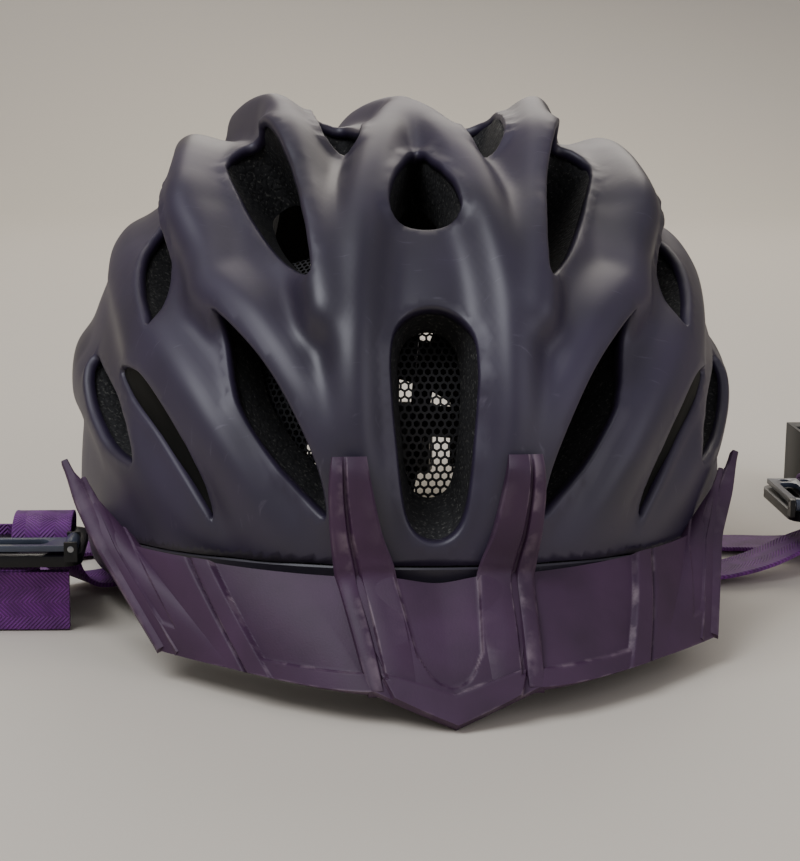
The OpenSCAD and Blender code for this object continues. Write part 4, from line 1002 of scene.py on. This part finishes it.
def lay_net():
    mesh = flat_net()
    flat = np.zeros(len(mesh.vertices) * 3)
    mesh.vertices.foreach_get("co", flat)
    flat = flat.reshape(-1, 3)
    across, down = flat[:, 0] / ROUND_ACROSS, math.radians(START_DOWN) - flat[:, 1] / ROUND_DOWN
    placed = hollow_point(across, down, -FOAM_T - NET_DEPTH + flat[:, 2])
    mesh.vertices.foreach_set("co", ((placed + MIDDLE) * MM).ravel())
    work = bmesh.new()
    work.from_mesh(mesh)
    low = [f for f in work.faces if f.calc_center_median().z < NET_FOOT * MM]
    bmesh.ops.delete(work, geom=low, context="FACES")
    bmesh.ops.remove_doubles(work, verts=work.verts, dist=0.00002)
    work.to_mesh(mesh)
    work.free()
    made = bpy.data.objects.new("insect_net_mesh", mesh)
    bpy.context.scene.collection.objects.link(made)
    return made


net = settle(lay_net(), "helmet", "net_nylon", "insect_net")
print("net:", len(net.data.polygons), "faces")

# %% [markdown]
# ## Straps
# A strap is a ribbon swept along a route: points of its middle, each with the direction of its width. Its section is
# a flat oval with slightly thick edges, like woven selvedges. Its UV map holds the real distances across and along,
# so that the ribs keep their size.

# %% Strap maker
SIDE = SHELL_W / 2
FACE = [(-1, 0), (-0.985, 0.42), (-0.94, 0.5), (-0.86, 0.43), (-0.4, 0.44), (0.4, 0.44), (0.86, 0.43), (0.94, 0.5),
        (0.985, 0.42)]
EDGES = FACE + [(-c, -h) for c, h in FACE]
WEB_T, LAYER_T, LAYER_SHIFT, WAVE, WAVE_RUN = 1.5, 1.4, 0.8, 0.12, 7.0


def ribbon(route, width, thickness, shift=0.0, steps=10):
    """Points, faces and UVs of webbing along a route, moved off it by a shift along the webbing's face."""
    p = curve([r[0] for r in route], steps)
    w = curve([r[1] for r in route], steps)
    along = np.gradient(p, axis=0)
    up = np.cross(along, w)
    up /= np.linalg.norm(up, axis=1)[:, None]
    across = np.cross(up, along)
    across /= np.linalg.norm(across, axis=1)[:, None]
    run = np.concatenate([[0], np.cumsum(np.linalg.norm(np.diff(p, axis=0), axis=1))])
    wave = WAVE * np.sin(run / WAVE_RUN)
    sections, uv = [], []
    for i in range(len(p)):
        section = p[i] + across[i] * np.array([[c * width / 2] for c, _ in EDGES])
        sections.append(section + up[i] * np.array([[h * thickness + shift + wave[i] * 0.5] for _, h in EDGES]))
        uv.append([(c * width / 2 + width / 2 + abs(h), run[i]) for c, h in EDGES])
    points, faces = tube(sections)
    return points, faces, np.concatenate(uv)


def strap(name, parts, *nodes):
    points, faces, uv = joined(parts)
    made = crisp(outward(piece(name, points, faces, strap_web, uv=uv)), 60)
    return settle(made, "helmet", "strap_webbing", *nodes)


def laid(route, side, lift=0.0):
    return [((side * (SIDE + x), y, z + lift), w) for (x, y, z), w in route]


def root(psi):
    """The stretch of a strap from its anchor in the foam to under the edge."""
    p = wall_point(psi, float(edge_z(psi)), -FOAM_T / 2)
    w = (math.cos(math.radians(psi)), math.sin(math.radians(psi)), 0)
    z = float(edge_z(psi)) + 12
    return [((p[0], p[1], z + 6.5), w), ((p[0], p[1], z - 1), w), ((p[0], p[1], 7), w)]


print("section of the webbing:", len(EDGES), "points")

# %% [markdown]
# Each side strap starts at an anchor in the foam, comes out under the edge and runs over the table to its divider.
# Points are measured from the shell's side, each with the direction of the webbing's width. The chin straps are
# doubled webbing that stands on its edge.

# %% Routes of the straps
FRONT_PSI, REAR_PSI = 74, 100
FRONT_LEFT = [
    ((-19, -25.5, 5), (0.28, -0.96, 0)), ((-14, -28, 3.2), (0.35, -0.94, 0)), ((-5, -34, 4.2), (0.55, -0.83, 0)),
    ((1.5, -38.5, 10), (0.8, -0.6, 0)), ((5, -40.5, 20), (1, -0.1, 0)), ((5, -46, 28.5), (1, 0, 0)), ((5, -57, 30.5), (1, 0, 0)),
    ((5, -65, 28.5), (1, 0, 0)), ((5, -67.4, 24.5), (1, 0, 0)), ((5, -67.5, 20), (1, 0, 0))]
REAR_LEFT = [
    ((-18.6, 15.6, 3.6), (-0.17, -0.98, 0)), ((-14, 15.5, 2.2), (0, -1, 0)), ((-6, 14.5, 2.1), (0.3, -0.95, 0)),
    ((4, 10, 2.1), (0.6, -0.8, 0)), ((12, 0, 2.6), (0.95, -0.3, 0)), ((15.5, -13, 3), (1, 0, 0)), ((16, -28, 4), (1, 0, 0)),
    ((16, -44, 7), (1, 0, 0)), ((16, -51.5, 12), (1, 0, 0)), ((16, -53.5, 19), (1, 0, 0)), ((16, -53.5, 27), (1, 0, 0))]
FRONT_RIGHT = [
    ((-19, -25.5, 5), (0.28, 0.96, 0)), ((-14, -26.5, 3.2), (0.2, 0.98, 0)), ((-2, -26.5, 3.4), (0, 1, 0)),
    ((12, -22, 5.5), (-0.15, 0.99, 0)), ((26, -14, 9), (-0.1, 0.99, 0)), ((35, -10, 12), (0, 1, 0)), ((38.2, -9.5, 16), (0, 1, 0)),
    ((38.5, -9.5, 22), (0, 1, 0)), ((38.5, -9.5, 26), (0, 1, 0))]
REAR_RIGHT = [
    ((-18.6, 15.6, 3.6), (-0.17, 0.98, 0)), ((-14, 15.5, 2.2), (-0.15, 0.99, 0)), ((0, 15, 2.1), (0, 1, 0)),
    ((14, 14, 2.2), (0, 1, 0)), ((28, 10, 3), (0.1, 0.99, 0)), ((42, 4, 6), (0.1, 1, 0)), ((50.5, 1.5, 11), (0, 1, 0)),
    ((52.5, 1.5, 17), (0, 1, 0)), ((52.5, 1.5, 26), (0, 1, 0))]
TAIL_LEFT = [
    ((-4, -77, 0.4), (0, 0, 1)), ((20, -76.5, 0.4), (0, 0, 1)), ((40, -72.5, 0.4), (0, 0, 1)),
    ((56, -60.5, 0.8), (0, 0, 1)), ((63, -38.5, 1.6), (0, 0, 1)), ((63, -18.5, 2), (0, 0, 1))]
TAIL_RIGHT = [
    ((45.5, 12.5, 14.5), (1, 0, 0)), ((45.5, 21.5, 15), (1, 0, 0)), ((47, 29.5, 11), (0.9, 0, 0.3)),
    ((54, 37.5, 4.5), (0.5, -0.3, 0.8)), ((61, 47.5, 2.2), (0, 0, 1)), ((63, 57.5, 2.2), (0, 0, 1)),
    ((63, 77.5, 2.2), (0, 0, 1)), ((63, 97.5, 2.2), (0, 0, 1))]

ROUTES = [("front", "left", -1, FRONT_PSI, FRONT_LEFT), ("rear", "left", -1, REAR_PSI, REAR_LEFT),
          ("front", "right", 1, FRONT_PSI, FRONT_RIGHT), ("rear", "right", 1, REAR_PSI, REAR_RIGHT)]
for end, hand, side, psi, route in ROUTES:
    web = ribbon(root(side * psi) + laid(route, side), STRAP_W, WEB_T)
    strap(f"strap_web_{end}_{hand}", [web], f"{end}_strap_{hand}")
for hand, side, route in (("left", -1, TAIL_LEFT), ("right", 1, TAIL_RIGHT)):
    tail = laid(route, side, STRAP_W / 2)
    layers = [ribbon(tail, STRAP_W, LAYER_T, shift) for shift in (LAYER_SHIFT, -LAYER_SHIFT)]
    strap(f"strap_web_chin_{hand}", layers, f"chin_strap_{hand}")
print("straps:", len(ROUTES), "from the foam and 2 chin straps")

# %% [markdown]
# ## Moulded hardware
# Small hard parts keep the frame's exact form. A copy of each is cleaned of doubled points, its flat faces are
# merged, and its edges get a small rounding, as real mouldings have.

# %% Hardware
def cleaned(mesh, flatten=False):
    """Merges doubled points and, if asked, the flat faces."""
    work = bmesh.new()
    work.from_mesh(mesh)
    bmesh.ops.remove_doubles(work, verts=work.verts, dist=0.00001)
    if flatten:
        bmesh.ops.dissolve_limit(work, angle_limit=math.radians(1), verts=work.verts, edges=work.edges)
    work.to_mesh(mesh)
    work.free()


def baked(made):
    """Puts the modifiers' result in the piece's mesh."""
    final = bpy.data.meshes.new_from_object(made.evaluated_get(bpy.context.evaluated_depsgraph_get()))
    made.modifiers.clear()
    made.data = final
    return made


def all_smooth(made):
    made.data.polygons.foreach_set("use_smooth", [True] * len(made.data.polygons))
    return made


def rounded(name, node, material, body, slot_name, radius=0.35):
    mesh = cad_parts[node].data.copy()
    mesh.materials.clear()
    mesh.materials.append(material)
    cleaned(mesh, flatten=True)
    made = bpy.data.objects.new(name, mesh)
    bpy.context.scene.collection.objects.link(made)
    made.matrix_world = Matrix.Identity(4)
    bevel = made.modifiers.new("round", "BEVEL")
    bevel.width, bevel.segments = radius * MM, 2
    bevel.limit_method, bevel.angle_limit = "ANGLE", math.radians(40)
    bevel.use_clamp_overlap = True
    return settle(crisp(all_smooth(baked(made)), 32), body, slot_name, node)


HARDWARE = [
    ("visor_studs", clip_nylon, "visor", "clip_nylon", 0.2),
    ("visor_sockets", clip_nylon, "helmet", "clip_nylon", 0.2),
    ("ring_arm_left", ring_nylon, "fit_frame", "ring_nylon", 0.25),
    ("ring_arm_right", ring_nylon, "fit_frame", "ring_nylon", 0.25),
    ("cradle", ring_nylon, "fit_frame", "ring_nylon", 0.4),
    ("dial_cover", ring_nylon, "fit_frame", "ring_nylon", 0.4),
    ("cover_screws", zinc_steel, "fit_frame", "screw_steel", 0.1),
    ("click_spring", zinc_steel, "fit_frame", "screw_steel", 0.05),
    ("dial_pinion", ring_nylon, "dial", "ring_nylon", 0.1),
    ("dial_knob", dial_rubber, "dial", "dial_rubber", 0.5),
    ("dial_screw", zinc_steel, "dial", "screw_steel", 0.1),
    ("belt_left", ring_nylon, "belt_left", "ring_nylon", 0.15),
    ("belt_right", ring_nylon, "belt_right", "ring_nylon", 0.15),
    ("pivot_sockets", clip_nylon, "helmet", "clip_nylon", 0.2),
    ("pivot_pins", clip_nylon, "helmet", "clip_nylon", 0.2),
    ("stem_pin", clip_nylon, "helmet", "clip_nylon", 0.2),
    ("strap_anchors", clip_nylon, "helmet", "clip_nylon", 0.3),
    ("lever_pins", zinc_steel, "helmet", "screw_steel", 0.1),
    ("divider_left", divider_black, "helmet", "divider_black", 0.7),
    ("divider_right", divider_black, "helmet", "divider_black", 0.7),
    ("lever_left", lever_slate, "lever_left", "lever_slate", 0.5),
    ("lever_right", lever_slate, "lever_right", "lever_slate", 0.5),
    ("buckle_plug", buckle_acetal, "helmet", "buckle_acetal", 0.6),
    ("buckle_socket", buckle_acetal, "helmet", "buckle_acetal", 0.7),
    ("strap_keeper", dial_rubber, "keeper", "keeper_rubber", 0.5)]
for node, material, body, slot_name, radius in HARDWARE:
    rounded(node + "_part", node, material, body, slot_name, radius)
print("hardware:", len(HARDWARE), "parts")

# %% [markdown]
# ## Pads
# The pads are foam under knit cloth. Each starts from its frame solid, a little smaller, as an even mesh. Blender's
# cloth simulation blows it up with a small pressure, and no point may move further than a cap.

# %% Pads
PADS = [("brow_pad", "helmet"), ("crown_pad_left", "helmet"), ("crown_pad_right", "helmet"), ("side_pad_left", "helmet"),
        ("side_pad_right", "helmet"), ("nape_pad_left", "fit_frame"), ("nape_pad_right", "fit_frame"), ("chin_pad", "helmet")]
PAD_GRID, PAD_INSET, PAD_CAP, PRESSURE, CLOTH_FRAMES = 2.2, 0.7, 1.3, 4, 20


def even_copy(node, voxel_mm):
    made = bpy.data.objects.new(node + "_cushion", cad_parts[node].data.copy())
    bpy.context.scene.collection.objects.link(made)
    cleaned(made.data)
    remesh = made.modifiers.new("even", "REMESH")
    remesh.mode, remesh.voxel_size = "VOXEL", voxel_mm * MM
    return baked(made)


def points_of(mesh):
    flat = np.zeros(len(mesh.vertices) * 3)
    mesh.vertices.foreach_get("co", flat)
    return flat.reshape(-1, 3)


def drawn_in(made, depth_mm):
    normal = np.zeros(len(made.data.vertices) * 3)
    made.data.vertices.foreach_get("normal", normal)
    inward = points_of(made.data) - normal.reshape(-1, 3) * depth_mm * MM
    made.data.vertices.foreach_set("co", inward.ravel())


def swell(made, cap_mm):
    cloth = made.modifiers.new("swell", "CLOTH")
    cloth.settings.use_pressure = True
    cloth.settings.uniform_pressure_force = PRESSURE
    cloth.settings.effector_weights.gravity = 0
    before = points_of(made.data)
    for number in range(1, CLOTH_FRAMES + 1):
        bpy.context.scene.frame_set(number)
    after = points_of(made.evaluated_get(bpy.context.evaluated_depsgraph_get()).data)
    made.modifiers.clear()
    bpy.context.scene.frame_set(1)
    moved = after - before
    length = np.linalg.norm(moved, axis=1)[:, None]
    share = np.minimum(1, cap_mm * MM / np.maximum(length, 1e-9))
    made.data.vertices.foreach_set("co", (before + moved * share).ravel())
    return float(length.max() * 1000)


for node, body in PADS:
    pad = even_copy(node, PAD_GRID)
    drawn_in(pad, PAD_INSET)
    grew = swell(pad, PAD_CAP)
    pad.data.materials.clear()
    pad.data.materials.append(pad_knit)
    all_smooth(pad).data.update()
    settle(pad, body, "pad_fabric", node)
    print(node, "swelled by", round(grew, 2), "mm before its cap")

# %% [markdown]
# ## Floor and light
# The helmet stands on a pale floor that curves up to a pale wall. A large soft light hangs above and to the left, a
# weaker one fills from the right, and one behind lets light in through the rear vents.

# %% Floor
HALF, CURVE_Y, CURVE_R, WALL_TOP = 9.0, 1.2, 0.6, 3.0
floor_paint, _, floor_shader = finish("pale_matt_paint", 0.7)
floor_shader.inputs["Base Color"].default_value = linear("#d3ccbe")
bend = [(CURVE_Y + CURVE_R * math.sin(a), CURVE_R - CURVE_R * math.cos(a)) for a in np.linspace(0, math.pi / 2, 16)]
turn = [(-HALF, 0.0)] + bend + [(CURVE_Y + CURVE_R, WALL_TOP)]
floor_points = [(x * 1000, y * 1000, z * 1000) for y, z in turn for x in (-HALF, HALF)]
floor_faces = [(2 * i, 2 * i + 1, 2 * i + 3, 2 * i + 2) for i in range(len(turn) - 1)]
floor = piece("floor", floor_points, floor_faces, floor_paint)
print("floor:", len(floor_faces), "strips")

# %% [markdown]
# The lights are large soft panels, turned to face the helmet, with an even grey room round them.

# %% Lights
def soft_light(name, place, target, size, watts, colour):
    lamp = bpy.data.lights.new(name, "AREA")
    lamp.size, lamp.energy, lamp.color = size, watts, linear(colour)[:3]
    made = bpy.data.objects.new(name, lamp)
    made.location = place
    made.rotation_euler = (Vector(target) - Vector(place)).to_track_quat("-Z", "Y").to_euler()
    bpy.context.scene.collection.objects.link(made)


soft_light("key", (-0.7, -0.5, 1.3), (0, 0, 0.08), 0.9, 15, "#f6f8ff")
soft_light("fill", (1.0, -0.9, 0.7), (0, 0, 0.08), 1.0, 3.5, "#f4f0ff")
soft_light("behind", (0.2, 1.2, 0.9), (0, 0.1, 0.08), 0.9, 8, "#fff8ee")
world = bpy.data.worlds.new("room")
world.use_nodes = True
world.node_tree.nodes["Background"].inputs["Color"].default_value = linear("#e6e4e8")
world.node_tree.nodes["Background"].inputs["Strength"].default_value = 0.5
bpy.context.scene.world = world
print("lights:", [lamp.name for lamp in bpy.data.lights])
